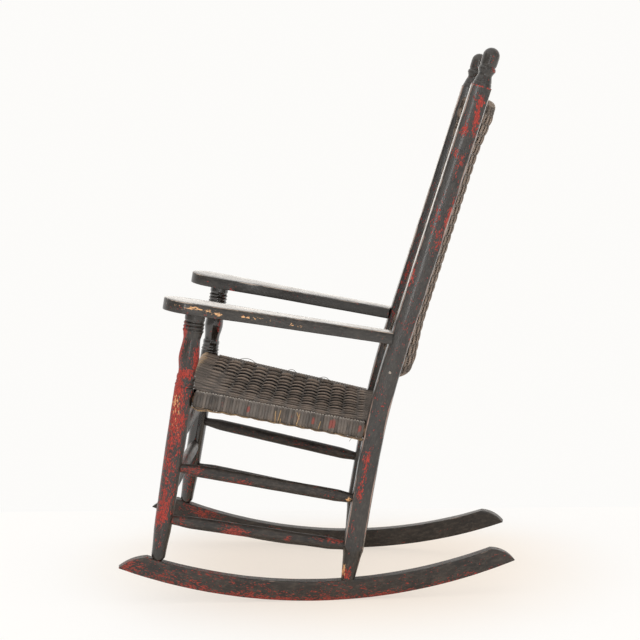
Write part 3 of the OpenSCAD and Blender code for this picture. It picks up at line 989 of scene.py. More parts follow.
@dataclass
class FrontPosts(Woodwork):
    """The turned front posts: a small foot, a plain shaft and a vase under the arm."""

    offset: float = 7.3
    rub: float = 0.0
    collar: float = 0.013
    bead_pitch: float = 0.0074
    bead_out: float = 0.0217
    bead_in: float = 0.0197
    neck: float = 0.0173
    belly: float = 0.0212
    tenon: float = 0.012
    all_over: dict[Side, float] = field(default_factory=lambda: {Side.LEFT: 0.13, Side.RIGHT: 0.04})
    wear: WearBySide = field(default_factory=lambda: {
        Side.LEFT: (
            Patch((0.016, -0.012, 0.32), (0.026, 0.02, 0.06), 0.72),
            Patch((0.02, -0.008, 0.21), (0.028, 0.02, 0.09), 0.48),
            Patch((0.018, -0.005, 0.108), (0.03, 0.02, 0.045), 0.6),
            Patch((0.016, 0.01, 0.3), (0.02, 0.008, 0.05), 0.3),
            Patch((0.01, -0.02, 0.435), (0.022, 0.008, 0.055), 0.95),
            Patch((0.012, 0.016, 0.435), (0.016, 0.008, 0.03), 0.95),
            Patch((0.02, 0.004, 0.402), (0.012, 0.01, 0.008), 0.85),
            Patch((0.012, -0.012, 0.398), (0.012, 0.012, 0.008), 0.8),
            Patch((0.01, -0.018, 0.485), (0.018, 0.01, 0.016), 0.75),
            Patch((0.014, -0.01, 0.372), (0.014, 0.014, 0.016), 0.6),
            Patch((0.014, -0.012, 0.345), (0.018, 0.014, 0.022), 0.62, Layer.BARE),
            Patch((0.02, -0.006, 0.3), (0.022, 0.016, 0.04), 0.44, Layer.BARE),
            Patch((0.02, -0.004, 0.18), (0.022, 0.012, 0.07), 0.34, Layer.BARE),
        ),
        Side.RIGHT: (
            Patch((-0.016, 0.016, 0.45), (0.012, 0.007, 0.05), 0.6),
            Patch((-0.016, 0.0, 0.06), (0.02, 0.02, 0.06), 0.45),
            Patch((0.016, -0.01, 0.25), (0.02, 0.02, 0.16), 0.5),
        ),
    })

    def profile(self, length: float) -> np.ndarray:
        """Distances up the post and the radii there.

        Args:
            length: from the foot's shoulder to the arm.

        Returns:
            Rows of a distance and a radius.
        """
        post = self.plan.front_post_d / 2
        foot = self.plan.front_foot_d / 2
        up = [
            (-self.tenon, foot - 0.0043), (0.0005, foot - 0.0043), (0.002, foot - 0.0022), (0.005, foot - 0.0002),
            (0.010, foot + 0.0006), (0.020, foot + 0.0007), (0.040, foot + 0.0018), (0.062, post - 0.0028),
            (0.085, post - 0.0021), (0.172, post - 0.0011), (0.258, post),
        ]
        top = [(0.0, post + 0.0005), (self.collar, post + 0.0005), (self.collar + 0.002, self.bead_in)]
        start, swell = self.collar + 0.004, self.bead_out - self.bead_in
        for bead in range(3):
            for t in np.arange(0, 1, 0.125):
                down = start + (bead + t) * self.bead_pitch
                top.append((down, self.bead_in + swell * math.sin(math.pi * t)))
        curves = (
            (0.040, 0.052, self.bead_in, self.neck + 0.0006),
            (0.052, 0.092, self.neck + 0.0006, self.belly),
            (0.092, 0.123, self.belly, self.neck),
        )
        for low, high, a, b in curves:
            for t in np.arange(0.1, 1.01, 0.1):
                top.append((low + (high - low) * t, a + (b - a) * float(smooth(t))))
        top += [
            (0.128, self.neck), (0.1295, self.neck + 0.0016),
            (0.1345, self.neck + 0.0021), (0.139, self.neck + 0.0016),
        ]
        for band in range(2):
            for t in np.arange(0, 1, 0.125):
                radius = self.neck + 0.0010 + band * 0.0013 + 0.0013 * math.sin(math.pi * t)
                top.append((0.1406 + (band + t) * 0.0065, radius))
        top += [(0.1536, post - 0.0014), (0.1551, post)]
        end = (length + 0.001, post + 0.0005)
        return np.array(up + [(length - d, r) for d, r in reversed(top)] + [end])

    def build(self, materials: dict[Side, Material]) -> None:
        """Makes both front posts.

        Args:
            materials: the paint of each side's post.
        """
        plan = self.plan
        for index, side in enumerate(Side):
            foot = plan.front_at(plan.front_foot_z, side.value)
            top = plan.front_at(plan.arm_height, side.value)
            length = float(np.linalg.norm(top - foot))
            profile = self.profile(length)
            marks = stations((-self.tenon, 0.33, 0.0062), (0.33, length + 0.001, 0.0009))
            radii = np.interp(marks, profile[:, 0], profile[:, 1])
            rings = turned_rings(foot, top, marks, radii, 32, side.value)
            bulging = np.gradient(np.gradient(radii, marks), marks) < -90
            rings.arris[:] = (bulging * 0.75)[:, None]
            wear = self.all_over[side], self.wear[side]
            self.make(index, f"front_post_{side.name.lower()}", "turning", rings, wear, materials[side])


@dataclass
class BackPosts(Twins):
    """The squared, bent back posts with a turned finial and foot."""

    stem: str = "back_post"
    form: str = "squared"
    offset: float = 11.9
    uneven: float = 0.00035
    rub: float = 0.9
    all_over: dict[Side, float] = field(default_factory=lambda: dict.fromkeys(Side, 0.10))
    finial: float = 0.082
    corner: float = 0.0042
    crown: float = 0.0015
    neck: float = 0.0146
    dome: float = 0.0175
    wear: WearBySide = field(default_factory=lambda: {
        Side.LEFT: (
            Patch((0.019, 0.006, 1.04), (0.012, 0.009, 0.013), 0.86),
            Patch((0.019, 0.009, 1.006), (0.012, 0.006, 0.024), 0.9),
            Patch((0.019, -0.006, 0.974), (0.012, 0.007, 0.016), 0.92),
            Patch((0.019, 0.014, 0.972), (0.012, 0.005, 0.034), 0.5),
            Patch((0.019, 0.004, 0.908), (0.012, 0.008, 0.02), 0.68),
            Patch((0.019, -0.012, 0.925), (0.012, 0.006, 0.012), 0.62),
            Patch((0.019, 0.016, 0.8), (0.012, 0.006, 0.07), 0.66),
            Patch((0.019, -0.006, 0.8), (0.012, 0.007, 0.034), 0.5),
            Patch((0.019, 0.006, 0.745), (0.012, 0.009, 0.026), 0.44),
            Patch((0.019, -0.017, 0.655), (0.012, 0.005, 0.04), 0.55),
            Patch((0.019, 0.016, 0.565), (0.012, 0.008, 0.06), 0.24),
            Patch((0.019, -0.006, 0.56), (0.012, 0.008, 0.03), 0.2),
            Patch((0.019, -0.01, 0.4), (0.012, 0.007, 0.05), 0.3),
            Patch((0.019, -0.005, 0.258), (0.012, 0.006, 0.03), 0.8),
            Patch((0.019, -0.006, 0.19), (0.012, 0.0055, 0.022), 0.74),
            Patch((0.019, -0.012, 0.115), (0.012, 0.006, 0.02), 0.4),
            Patch((0.008, -0.012, 0.022), (0.014, 0.0055, 0.018), 1.15, Layer.BARE),
            Patch((0.006, -0.004, 0.016), (0.014, 0.014, 0.016), 0.85),
            Patch((0.01, 0.0, 1.066), (0.03, 0.03, 0.0022), 0.85),
            Patch((0.012, 0.012, 1.103), (0.01, 0.008, 0.006), 0.75),
            Patch((0.019, 0.0, 0.48), (0.012, 0.012, 0.3), 0.1),
        ),
        Side.RIGHT: (
            Patch((-0.019, -0.01, 0.6), (0.012, 0.01, 0.2), 0.42),
            Patch((0.019, 0.0, 0.75), (0.012, 0.012, 0.25), 0.4),
        ),
    })

    def turning(self) -> np.ndarray:
        """Distances from the finial's base and the radii of the turned top.

        Returns:
            Rows of a distance and a radius.
        """
        ring = self.plan.back_post_width / 2 - 0.001
        rows = [
            (-0.014, 0.062), (0.0, 0.041), (0.002, ring + 0.002), (0.009, ring + 0.0006),
            (0.0105, ring - 0.0004), (0.012, ring), (0.014, ring - 0.0008),
        ]
        for t in np.arange(0.125, 1.01, 0.125):
            rows.append((0.014 + 0.011 * t, ring - 0.0008 + (self.neck - ring + 0.0008) * float(smooth(t))))
        rows += [(0.028, self.neck), (0.0295, 0.0157)]
        for t in np.arange(0.1, 0.95, 0.1):
            rows.append((0.031 + 0.012 * t, 0.016 + 0.0024 * math.sin(math.pi * t)))
        rows += [(0.043, 0.0154), (0.045, 0.0164), (0.048, 0.0172)]
        for turn in range(0, 86, 5):
            lean = math.radians(turn)
            rows.append((0.0645 + self.dome * math.sin(lean), self.dome * math.cos(lean)))
        rows.append((self.finial, 0.0004))
        return np.array(rows)

    @property
    def straight(self) -> float:
        """Length of the post below its bend."""
        plan = self.plan
        return (plan.bend_start - plan.back_foot_z) / math.cos(plan.lean_low)

    def axis(self, s: float) -> Triple:
        """(Y, Z, lean) of the post's axis at distance s above its foot.

        Args:
            s: the distance.

        Returns:
            Y, Z and the lean in radians.
        """
        plan = self.plan
        low, lean = self.straight, plan.lean_low
        if s < low:
            return plan.back_foot_y + s * math.sin(lean), plan.back_foot_z + s * math.cos(lean), lean
        if s < low + plan.bend_length:
            lean = plan.lean_low + (s - low) / plan.bend_radius
            y = plan.bend_y + plan.bend_radius * (math.cos(plan.lean_low) - math.cos(lean))
            return y, plan.bend_start + plan.bend_radius * (math.sin(lean) - math.sin(plan.lean_low)), lean
        rest = s - low - plan.bend_length
        y, z = plan.bend_end
        return y + rest * math.sin(plan.lean_high), z + rest * math.cos(plan.lean_high), plan.lean_high

    def sections(self, side: Side) -> Rings:
        """Works out the post's sections; its ends are clipped to the turned radii.

        Args:
            side: which post.

        Returns:
            Its sections.
        """
        plan = self.plan
        above = (plan.chair_height - plan.bend_end[1]) / math.cos(plan.lean_high)
        length = self.straight + plan.bend_length + above
        base = length - self.finial
        marks = stations(
            (-0.008, 0.03, 0.004),
            (0.03, 0.095, 0.003),
            (0.095, base - 0.012, 0.0085),
            (base - 0.012, length, 0.0009),
        )
        half = plan.back_post_width / 2
        section, corners = squared_section(half, plan.back_post_depth / 2, self.corner, self.crown, 6, 4)
        reach = np.linalg.norm(section, axis=1)
        turning = self.turning()
        r = plan.back_foot_d / 2
        foot = np.array([
            (-0.02, r - 0.0003), (0.003, r), (0.028, r + 0.0022), (0.050, r + 0.0044),
            (0.062, r + 0.0066), (0.100, plan.back_post_depth),
        ])
        points, grain, arris = [], [], []
        for s in marks:
            y, z, lean = self.axis(float(s))
            limit = min(np.interp(s - base, *turning.T), np.interp(s, *foot.T))
            clip = np.minimum(1.0, limit / reach)
            flat = section * clip[:, None]
            rearward = np.array([0.0, math.cos(lean), -math.sin(lean)])
            centre = np.array([side.value * plan.back_half, y, z])
            points.append(centre + flat[:, :1] * np.array([side.value, 0.0, 0.0]) + flat[:, 1:] * rearward)
            grain.append(np.concatenate([flat, np.full((len(flat), 1), s)], 1))
            arris.append(corners * (clip > 0.999))
        return Rings(np.array(points), np.array(grain), np.array(arris))


@dataclass
class Arms(Twins):
    """The flat paddle arms, softened all round."""

    stem: str = "arm"
    form: str = "paddle"
    offset: float = 17.7
    uneven: float = 0.0004
    rub: float = 0.85
    all_over: dict[Side, float] = field(default_factory=lambda: dict.fromkeys(Side, 0.06))
    paddle: float = 0.046
    tail: float = 0.025
    nose: float = 0.069
    corner: float = 0.0023
    wear: WearBySide = field(default_factory=lambda: {
        Side.LEFT: (
            Patch((0.046, 0.015, -0.004), (0.014, 0.0045, 0.046), 0.84, Layer.BARE),
            Patch((0.046, 0.01, 0.04), (0.014, 0.0045, 0.016), 0.74, Layer.BARE),
            Patch((0.046, 0.012, 0.102), (0.014, 0.005, 0.022), 1.06, Layer.BARE),
            Patch((0.044, 0.011, 0.138), (0.014, 0.005, 0.02), 1.04, Layer.BARE),
            Patch((0.04, 0.01, 0.205), (0.014, 0.005, 0.026), 0.84, Layer.BARE),
            Patch((0.03, 0.016, 0.4), (0.014, 0.008, 0.05), 0.4, Layer.BARE),
            # the whole top of the arm is lightened as rubbed paint: partly real rubbing, partly a painted sheen
            Patch((0.0, 0.026, 0.12), (0.05, 0.004, 0.26), 0.55, Layer.RUBBED),
        ),
        Side.RIGHT: (
            Patch((-0.048, 0.002, 0.045), (0.014, 0.006, 0.02), 0.55),
            # the whole top of the arm is lightened as rubbed paint: partly real rubbing, partly a painted sheen
            Patch((0.0, 0.026, 0.12), (0.05, 0.004, 0.26), 0.55, Layer.RUBBED),
        ),
    })

    def sections(self, side: Side) -> Rings:
        """Works out the arm's sections from its tip to the back post.

        Args:
            side: which arm.

        Returns:
            Its sections.
        """
        plan = self.plan
        front = plan.front_at(plan.arm_height, side.value)
        guess = (plan.back_at(plan.arm_height)[1] - front[1]) * math.tan(plan.arm_fall)
        back_y = plan.back_at(plan.arm_height - guess)[1]
        toe = math.atan((plan.front_half - plan.back_half) / (back_y - front[1]))
        length = (back_y - front[1]) / math.cos(toe) / math.cos(plan.arm_fall)
        waist_at = 0.37 * length
        waist = (self.paddle + 2 * self.tail) / 3 + 0.001
        start = self.paddle - self.nose
        turns = np.linspace(math.radians(6), math.pi / 2, 21)
        tip = start - self.paddle * np.cos(turns)
        rest = stations((start, length - 0.017, 0.0075))
        marks = split_to_tens(np.concatenate([tip, rest[1:]]))
        fall = plan.arm_fall
        sign = side.value
        level = np.array([-math.sin(toe) * sign, math.cos(toe), 0.0])
        along = level * math.cos(fall) - np.array([0.0, 0.0, math.sin(fall)])
        across = np.array([math.cos(toe) * sign, math.sin(toe), 0.0])
        up = np.cross(across * sign, along)
        points, grain, arris = [], [], []
        for y in marks:
            if y < start:
                half = math.sqrt(max(self.paddle**2 - (y - start) ** 2, 1e-8))
            elif y < 0:
                half = self.paddle
            elif y < waist_at:
                half = self.paddle + (waist - self.paddle) * float(smooth(y / waist_at))
            else:
                half = waist + (self.tail - waist) * float(smooth((y - waist_at) / (length - waist_at)))
            low, high = 0.0, plan.arm_thickness
            ends = y + self.nose
            if ends < self.corner:
                inset = self.corner - math.sqrt(self.corner**2 - (self.corner - ends) ** 2)
                low, high = low + inset * 0.8, high - inset * 0.8
            section, corners = squared_section(half, (high - low) / 2, self.corner, 0.0005, 7, 5)
            middle = front + along * y + up * (low + high) / 2
            points.append(middle + section[:, :1] * across + section[:, 1:] * up)
            rows = np.stack([section[:, 0], section[:, 1] + (low + high) / 2, np.full(len(section), y)], 1)
            grain.append(rows)
            arris.append(corners * (section[:, 1] > 0))
        return Rings(np.array(points), np.array(grain), np.array(arris))


@dataclass(frozen=True)
class Rung:
    """One rung: its ends, how worn it is all over, and its worn places."""

    start: np.ndarray
    end: np.ndarray
    all_over: float
    wear: tuple[Patch, ...] = ()


@dataclass
class Rungs(Woodwork):
    """The turned rungs between the posts."""

    offset: float = 23.3
    middle: float = 0.01275
    end: float = 0.0095
    plain: float = 0.018
    taper: float = 0.040
    hidden: float = 0.013
    upper_wear: WearBySide = field(default_factory=lambda: {
        Side.LEFT: (
            Patch((0.009, 0.006, 0.15), (0.012, 0.01, 0.045), 0.55),
            Patch((0.009, 0.0, 0.045), (0.012, 0.014, 0.04), 0.5),
            Patch((0.009, 0.0, 0.335), (0.012, 0.01, 0.012), 0.6),
            Patch((0.008, 0.002, 0.374), (0.01, 0.008, 0.01), 0.95, Layer.BARE),
        ),
        Side.RIGHT: (Patch((-0.009, 0.0, 0.26), (0.01, 0.01, 0.08), 0.35),),
    })
    lower_wear: WearBySide = field(default_factory=lambda: {
        Side.LEFT: (
            Patch((0.009, 0.004, 0.15), (0.012, 0.012, 0.03), 1.0),
            Patch((0.009, 0.0, 0.035), (0.012, 0.012, 0.03), 0.45),
            Patch((0.012, 0.0, 0.262), (0.008, 0.005, 0.007), 0.75),
            Patch((0.009, -0.009, 0.36), (0.012, 0.006, 0.045), 0.7),
        ),
        Side.RIGHT: (Patch((-0.009, 0.0, 0.2), (0.01, 0.01, 0.1), 0.4),),
    })
    front_wear: tuple[Patch, ...] = (Patch((0.0, -0.009, 0.25), (0.012, 0.01, 0.12), 0.45),)

    def rungs(self) -> dict[str, Rung]:
        """Works out where each rung runs, by the name of its node.

        Returns:
            The rungs, in the order that they are made.
        """
        front, back = self.plan.front_at, self.plan.back_at
        found = {}
        for side in Side:
            s, name = side.value, side.name.lower()
            found[f"upper_side_rung_{name}"] = Rung(front(0.293, s), back(0.214, s), 0.08, self.upper_wear[side])
            found[f"lower_side_rung_{name}"] = Rung(front(0.182, s), back(0.1125, s), 0.10, self.lower_wear[side])
        found["upper_front_rung"] = Rung(front(0.347), front(0.347, -1), 0.12, self.front_wear)
        found["lower_front_rung"] = Rung(front(0.236), front(0.236, -1), 0.14, self.front_wear)
        found["back_rung"] = Rung(back(0.163), back(0.163, -1), 0.10)
        return found

    def build(self, material: Material) -> None:
        """Makes all seven rungs.

        Args:
            material: their paint.
        """
        for index, (name, rung) in enumerate(self.rungs().items()):
            length = float(np.linalg.norm(rung.end - rung.start))
            marks = stations((self.hidden, length - self.hidden, 0.007))
            inner = np.minimum(marks, length - marks)
            radii = self.end + (self.middle - self.end) * smooth((inner - self.plain) / self.taper)
            outer = -1.0 if name.endswith("right") else 1.0
            rings = turned_rings(rung.start, rung.end, marks, radii, 24, outer)
            self.make(index, name, "turning", rings, (rung.all_over, rung.wear), material)


@dataclass
class NailHeads:
    """The nails in the ends of the bottom back rail, domed and a little sunk."""

    plan: Plan
    at: float = -0.0305
    head: float = 0.00275
    high: float = 0.0012
    proud: float = 0.0009

    def build(self, material: Material) -> None:
        """Makes both nail heads in one piece.

        Args:
            material: their steel.
        """
        plan = self.plan
        y, z = plan.bend_end
        y += self.at * math.sin(plan.lean_high)
        z += self.at * math.cos(plan.lean_high)
        x = plan.back_half + plan.back_post_width / 2
        bpy.ops.object.select_all(action="DESELECT")
        bpy.ops.mesh.primitive_cylinder_add(
            vertices=20,
            radius=self.head,
            depth=self.high,
            location=(x + self.high / 2 + self.proud, y, z),
            rotation=(0, math.pi / 2, 0),
        )
        nail = bpy.context.object
        nail.name = nail.data.name = "rail_nail_heads"
        bpy.ops.object.mode_set(mode="EDIT")
        bpy.ops.mesh.select_mode(type="FACE")
        bpy.ops.mesh.select_all(action="DESELECT")
        mesh = bmesh.from_edit_mesh(nail.data)
        for face in mesh.faces:
            face.select_set(len(face.verts) > 4 and face.normal.z > 0.5)
        bmesh.update_edit_mesh(nail.data)
        bpy.ops.mesh.inset(thickness=self.head * 0.35)
        bpy.ops.transform.translate(value=(self.high * 0.35, 0, 0))
        bpy.ops.mesh.inset(thickness=self.head * 0.3)
        bpy.ops.transform.translate(value=(self.high * 0.1, 0, 0))
        bpy.ops.object.mode_set(mode="OBJECT")
        bpy.ops.object.transform_apply(location=True, rotation=True, scale=True)
        bpy.ops.object.duplicate()
        twin = bpy.context.object
        twin.scale = (-1, 1, 1)
        bpy.ops.object.transform_apply(location=False, rotation=False, scale=True)
        face_outward()
        nail.select_set(True)
        bpy.context.view_layer.objects.active = nail
        bpy.ops.object.join()
        bpy.ops.object.shade_smooth_by_angle(angle=math.radians(40))
        install(nail, material, "nail", "rail_nails")


# ----------------------------------------------------------------------- weave


Level = Union[float, np.ndarray]


def half_turn(steps: int) -> np.ndarray:
    """Angles of the points between the two ends of half a turn."""
    return np.linspace(0, math.pi, steps + 2)[1:-1]


def wound_facing(top: int, turns: np.ndarray, under: int) -> tuple[np.ndarray, np.ndarray]:
    """Which way a wound strand faces, point by point.

    Args:
        top: points on its first flat stretch.
        turns: angles round each rail.
        under: points on its other flat stretch.

    Returns:
        Its reach along the stretches and its reach away from them.
    """
    along = np.concatenate([np.zeros(top), np.sin(turns), np.zeros(under), -np.sin(turns)])
    away = np.concatenate([np.ones(top), np.cos(turns), -np.ones(under), -np.cos(turns)])
    return along, away


@dataclass
class Strand:
    """One strand: its centre line, which way its flat side faces, and its looks.

    A closed strand runs round its rails; an open one tapers to nothing at its
    ends. A look is one number, or one for each point of the centre line.
    """

    path: np.ndarray
    facing: np.ndarray
    half_width: Level
    # painted light and shade: high where the strand lies on top of the weave, low in the pits
    crest: Level
    tone: float
    painted: Level = 0.0
    wear: Level = 0.0
    bare: Level = 0.0
    closed: bool = True
    thick: float = 1.0


class StrandMesh:
    """Sweeps a flattened six-sided section along strands, all in one mesh."""

    corners = 6
    round_up = 1.12
    looks_by_point = ("crest", "tone", "painted", "wear", "bare")

    def __init__(self, name: str, half_thick: float) -> None:
        """Starts an empty mesh for strands of one thickness.

        Args:
            name: the piece's name.
            half_thick: half the thickness of its strands.
        """
        self.name = name
        self.half_thick = half_thick
        self.points: list[np.ndarray] = []
        self.faces: list[np.ndarray] = []
        self.uvs: list[np.ndarray] = []
        self.looks: dict[str, list[np.ndarray]] = {key: [] for key in self.looks_by_point}
        self.count = 0

    def add_all(self, strands: Iterable[Strand]) -> None:
        """Adds strands in their order."""
        for strand in strands:
            self.add(strand)

    def add(self, strand: Strand) -> None:
        """Adds one strand.

        Args:
            strand: the strand.
        """
        path, facing = strand.path, strand.facing
        n, c = len(path), self.corners
        taper = np.ones(n)
        if strand.closed:
            ahead = np.roll(path, -1, 0) - np.roll(path, 1, 0)
        else:
            ahead = np.gradient(path, axis=0)
            taper[[0, -1]] = 0.02
        ahead /= np.linalg.norm(ahead, axis=1, keepdims=True)
        facing = facing - ahead * (facing * ahead).sum(1, keepdims=True)
        facing /= np.linalg.norm(facing, axis=1, keepdims=True)
        across = np.cross(ahead, facing)
        turn = 2 * np.pi * (np.arange(c) + 0.5) / c
        half_width = strand.half_width * taper
        half_thick = self.half_thick * self.round_up * strand.thick * taper
        rim = across[:, None] * (np.cos(turn)[None, :, None] * half_width[:, None, None])
        rim = rim + facing[:, None] * (np.sin(turn)[None] * half_thick[:, None])[..., None]
        self.points.append((path[:, None] + rim).reshape(-1, 3))
        i = np.arange(n if strand.closed else n - 1)[:, None]
        j = np.arange(c)[None]
        nxt, beside = (i + 1) % n, (j + 1) % c
        quads = np.stack([i * c + j, i * c + beside, nxt * c + beside, nxt * c + j], -1).reshape(-1, 4)
        uv = self.unroll(path, len(i), strand.tone)
        if not strand.closed:
            last = (n - 1) * c
            # each end of six corners is closed with two quads
            ends = [(3, 2, 1, 0), (5, 4, 3, 0)]
            ends += [(last, last + 1, last + 2, last + 3), (last, last + 3, last + 4, last + 5)]
            quads = np.concatenate([quads, np.array(ends)])
            uv = np.concatenate([uv, np.zeros((4 * len(ends), 2))])
        self.faces.append(quads + self.count)
        self.uvs.append(uv)
        self.count += n * c
        for key in self.looks_by_point:
            self.looks[key].append(np.repeat(np.broadcast_to(getattr(strand, key), n), c))

    def unroll(self, path: np.ndarray, rows: int, tone: float) -> np.ndarray:
        """Lays a strand's faces flat: metres along it by turns round it.

        Args:
            path: its centre line.
            rows: how many rings of faces it has.
            tone: moves the pattern, so that no two strands match.

        Returns:
            The places of the faces' corners, four to a face.
        """
        c = self.corners
        steps = np.linalg.norm(np.roll(path, -1, 0) - path, axis=1)
        run = np.concatenate([[0.0], np.cumsum(steps)])
        u0 = np.broadcast_to(run[:rows, None], (rows, c))
        u1 = np.broadcast_to(run[1:rows + 1, None], (rows, c))
        v0 = np.broadcast_to(np.arange(c)[None] / c, (rows, c))
        v1 = v0 + 1 / c
        shift = tone * 37.0
        ring = [np.stack([u, v + shift], -1) for u, v in ((u0, v0), (u0, v1), (u1, v1), (u1, v0))]
        return np.stack(ring, 2).reshape(-1, 2)

    def finish(self, bench: Bench) -> Piece:
        """Makes the object from all the strands.

        Args:
            bench: writes the strands' looks.

        Returns:
            The object.
        """
        points = np.concatenate(self.points)
        faces = np.concatenate(self.faces)
        mesh = bpy.data.meshes.new(self.name)
        mesh.vertices.add(len(points))
        mesh.vertices.foreach_set("co", points.astype(np.float32).ravel())
        mesh.loops.add(faces.size)
        mesh.loops.foreach_set("vertex_index", faces.astype(np.int32).ravel())
        mesh.polygons.add(len(faces))
        mesh.polygons.foreach_set("loop_start", np.arange(0, faces.size, 4, dtype=np.int32))
        mesh.polygons.foreach_set("use_smooth", np.ones(len(faces), bool))
        layer = mesh.uv_layers.new(name="strand")
        layer.data.foreach_set("uv", np.concatenate(self.uvs).astype(np.float32).ravel())
        mesh.update(calc_edges=True)
        mesh.validate()
        piece = bpy.data.objects.new(self.name, mesh)
        bpy.context.scene.collection.objects.link(piece)
        for key, values in self.looks.items():
            bench.write(piece, key, np.concatenate(values))
        return piece


@dataclass
class SeatWeave:
    """The seat: strands wound round the side rails, woven with strands wound front to back."""

    plan: Plan
    bench: Bench
    front_z: float = 0.439
    back_z: float = 0.358
    rail: float = 0.0138
    half_thick: float = 0.0016
    rail_step: float = 0.00294
    sag: float = 0.013
    bottom_sag: float = 0.004
    rise: float = 0.0043
    cross_rise: float = 0.0008
    under_rise: float = 0.0018
    level: float = 0.0160
    cross_level: float = 0.0144
    under: float = 0.0151
    edge: float = 0.0218
    cross_from: float = 0.0240
    cross_to: float = 0.3795
    cross_count: int = 58
    cross_group: int = 5
    long_count: int = 75
    long_group: int = 3
    cross_top: int = 134
    cross_under: int = 72
    long_top: int = 124
    long_under: int = 72
    turn_steps: int = 9
    scallop: float = 0.0016
    edge_layers: int = 6
    mark_width: float = 0.0030
    red_marks: tuple[float, ...] = (
        0.048, 0.084, 0.136, 0.166, 0.231, 0.239, 0.271, 0.309, 0.316, 0.354, 0.370,
    )
    loops: tuple[Triple, ...] = (
        (0.066, 0.118, 0.0052), (0.186, 0.214, 0.0036), (0.262, 0.294, 0.0034),
    )
    raw_ends: tuple[tuple[float, float, float, float], ...] = (
        (0.193, 0.003, -0.016, 0.010), (0.203, -0.002, -0.017, 0.013), (0.206, 0.000, -0.016, -0.004),
        (0.236, 0.008, 0.002, 0.014), (0.243, -0.003, -0.015, 0.013), (0.240, 0.001, -0.017, -0.006),
        (0.288, -0.002, -0.016, 0.006),
    )

    def __post_init__(self) -> None:
        """Works out the seat's own axes."""
        start, end = self.plan.front_at(self.front_z), self.plan.back_at(self.back_z)
        run = np.array([0.0, end[1] - start[1], end[2] - start[2]])
        self.depth = float(np.linalg.norm(run))
        self.back = run / self.depth
        self.up = np.array([0.0, -self.back[2], self.back[1]])
        self.origin = np.array([0.0, start[1], start[2]])
        self.radius = self.rail + self.half_thick
        self.cross_pitch = (self.cross_to - self.cross_from) / self.cross_count
        self.turns = half_turn(self.turn_steps)
        self.random = np.random.default_rng(SEED)

    def half(self, w: Any) -> Any:
        """Half width between the side rails at distance w behind the front rail."""
        share = np.clip(np.asarray(w) / self.depth, 0, 1)
        return self.plan.front_half + (self.plan.back_half - self.plan.front_half) * share

    def dip(self, s: Any, w: Any) -> Any:
        """Share of the sag at fraction s across and distance w back."""
        return (1 - np.square(s)) * (1 - np.square(2 * np.clip(w / self.depth, 0, 1) - 1))

    def place(self, x: np.ndarray, w: np.ndarray, n: np.ndarray) -> np.ndarray:
        """Points from distances across, back and above the rails."""
        return self.origin + x[:, None] * ACROSS + w[:, None] * self.back + n[:, None] * self.up

    def cell(self, w: Any) -> Any:
        """Which group of cross strands is at w, as a running number."""
        return (np.asarray(w) - self.cross_from) / (self.cross_pitch * self.cross_group) - 0.5

    def woven(self, w: Any) -> Any:
        """1 where the long strands at w run among cross strands, 0 near the rails."""
        return smooth((w - self.cross_from + 0.004) / 0.010) * smooth((self.cross_to + 0.002 - w) / 0.012)

    def relief(self, s: Any, w: Any) -> Any:
        """How strongly the weave stands out: pressed flat on the sitter's left, in front and behind.

        Args:
            s: fraction across the seat, 1 on the sitter's left.
            w: distance behind the front rail.

        Returns:
            1 where the weave stands out fully, less where it is flat.
        """
        s, w = np.asarray(s), np.asarray(w)
        across = 1 - 0.66 * smooth((s - 0.20) / 0.60)
        front = 1 - 0.75 * smooth((0.095 - w) / 0.04) * smooth((s + 0.55) / 0.50)
        return across * front * (1 - 0.5 * smooth((w - 0.330) / 0.04))

    def cross_strand(self, index: int) -> Strand:
        """One strand wound round the two side rails.

        Args:
            index: its number, from the front.

        Returns:
            The strand.
        """
        w = self.cross_from + (index + 0.5) * self.cross_pitch + self.random.normal(0, 0.00025)
        parity = -1 if index // self.cross_group % 2 else 1
        lift = self.random.normal(0, 0.00015)
        half = float(self.half(w))
        inner = half - self.edge
        turns = self.turns
        xs = np.linspace(half, -half, self.cross_top)
        xb = np.linspace(-half, half, self.cross_under)
        inside, inside_b = (smooth((inner + 0.010 - np.abs(line)) / 0.016) for line in (xs, xb))
        columns = self.long_count / self.long_group
        wave, wave_b = (soft_wave((line / inner + 1) / 2 * columns - 0.5, 1.0) * parity for line in (xs, xb))
        relief = self.relief(xs / half, w)
        # the path: over the seat, round the right rail, under the seat, round the left rail
        top = self.radius + inside * (self.cross_level - self.radius - self.cross_rise * relief * wave)
        top = top - self.sag * self.dip(xs / half, w) + lift
        bottom = -(self.radius + inside_b * (self.under - self.radius + self.under_rise * wave_b))
        bottom = bottom - self.bottom_sag * self.dip(xb / half, w)
        scallop = self.scallop * abs(math.sin(math.pi * (index + 0.5) / self.cross_group))
        reach = self.radius + scallop * np.exp(-(((turns - 2.2) / 0.45) ** 2))
        round_left = reach[::-1]
        x = np.concatenate([xs, -half - reach * np.sin(turns), xb, half + round_left * np.sin(turns)])
        n = np.concatenate([top, reach * np.cos(turns), bottom, -round_left * np.cos(turns)])
        out_x, out_n = wound_facing(len(xs), turns, len(xb))
        facing = -out_x[:, None] * ACROSS + out_n[:, None] * self.up
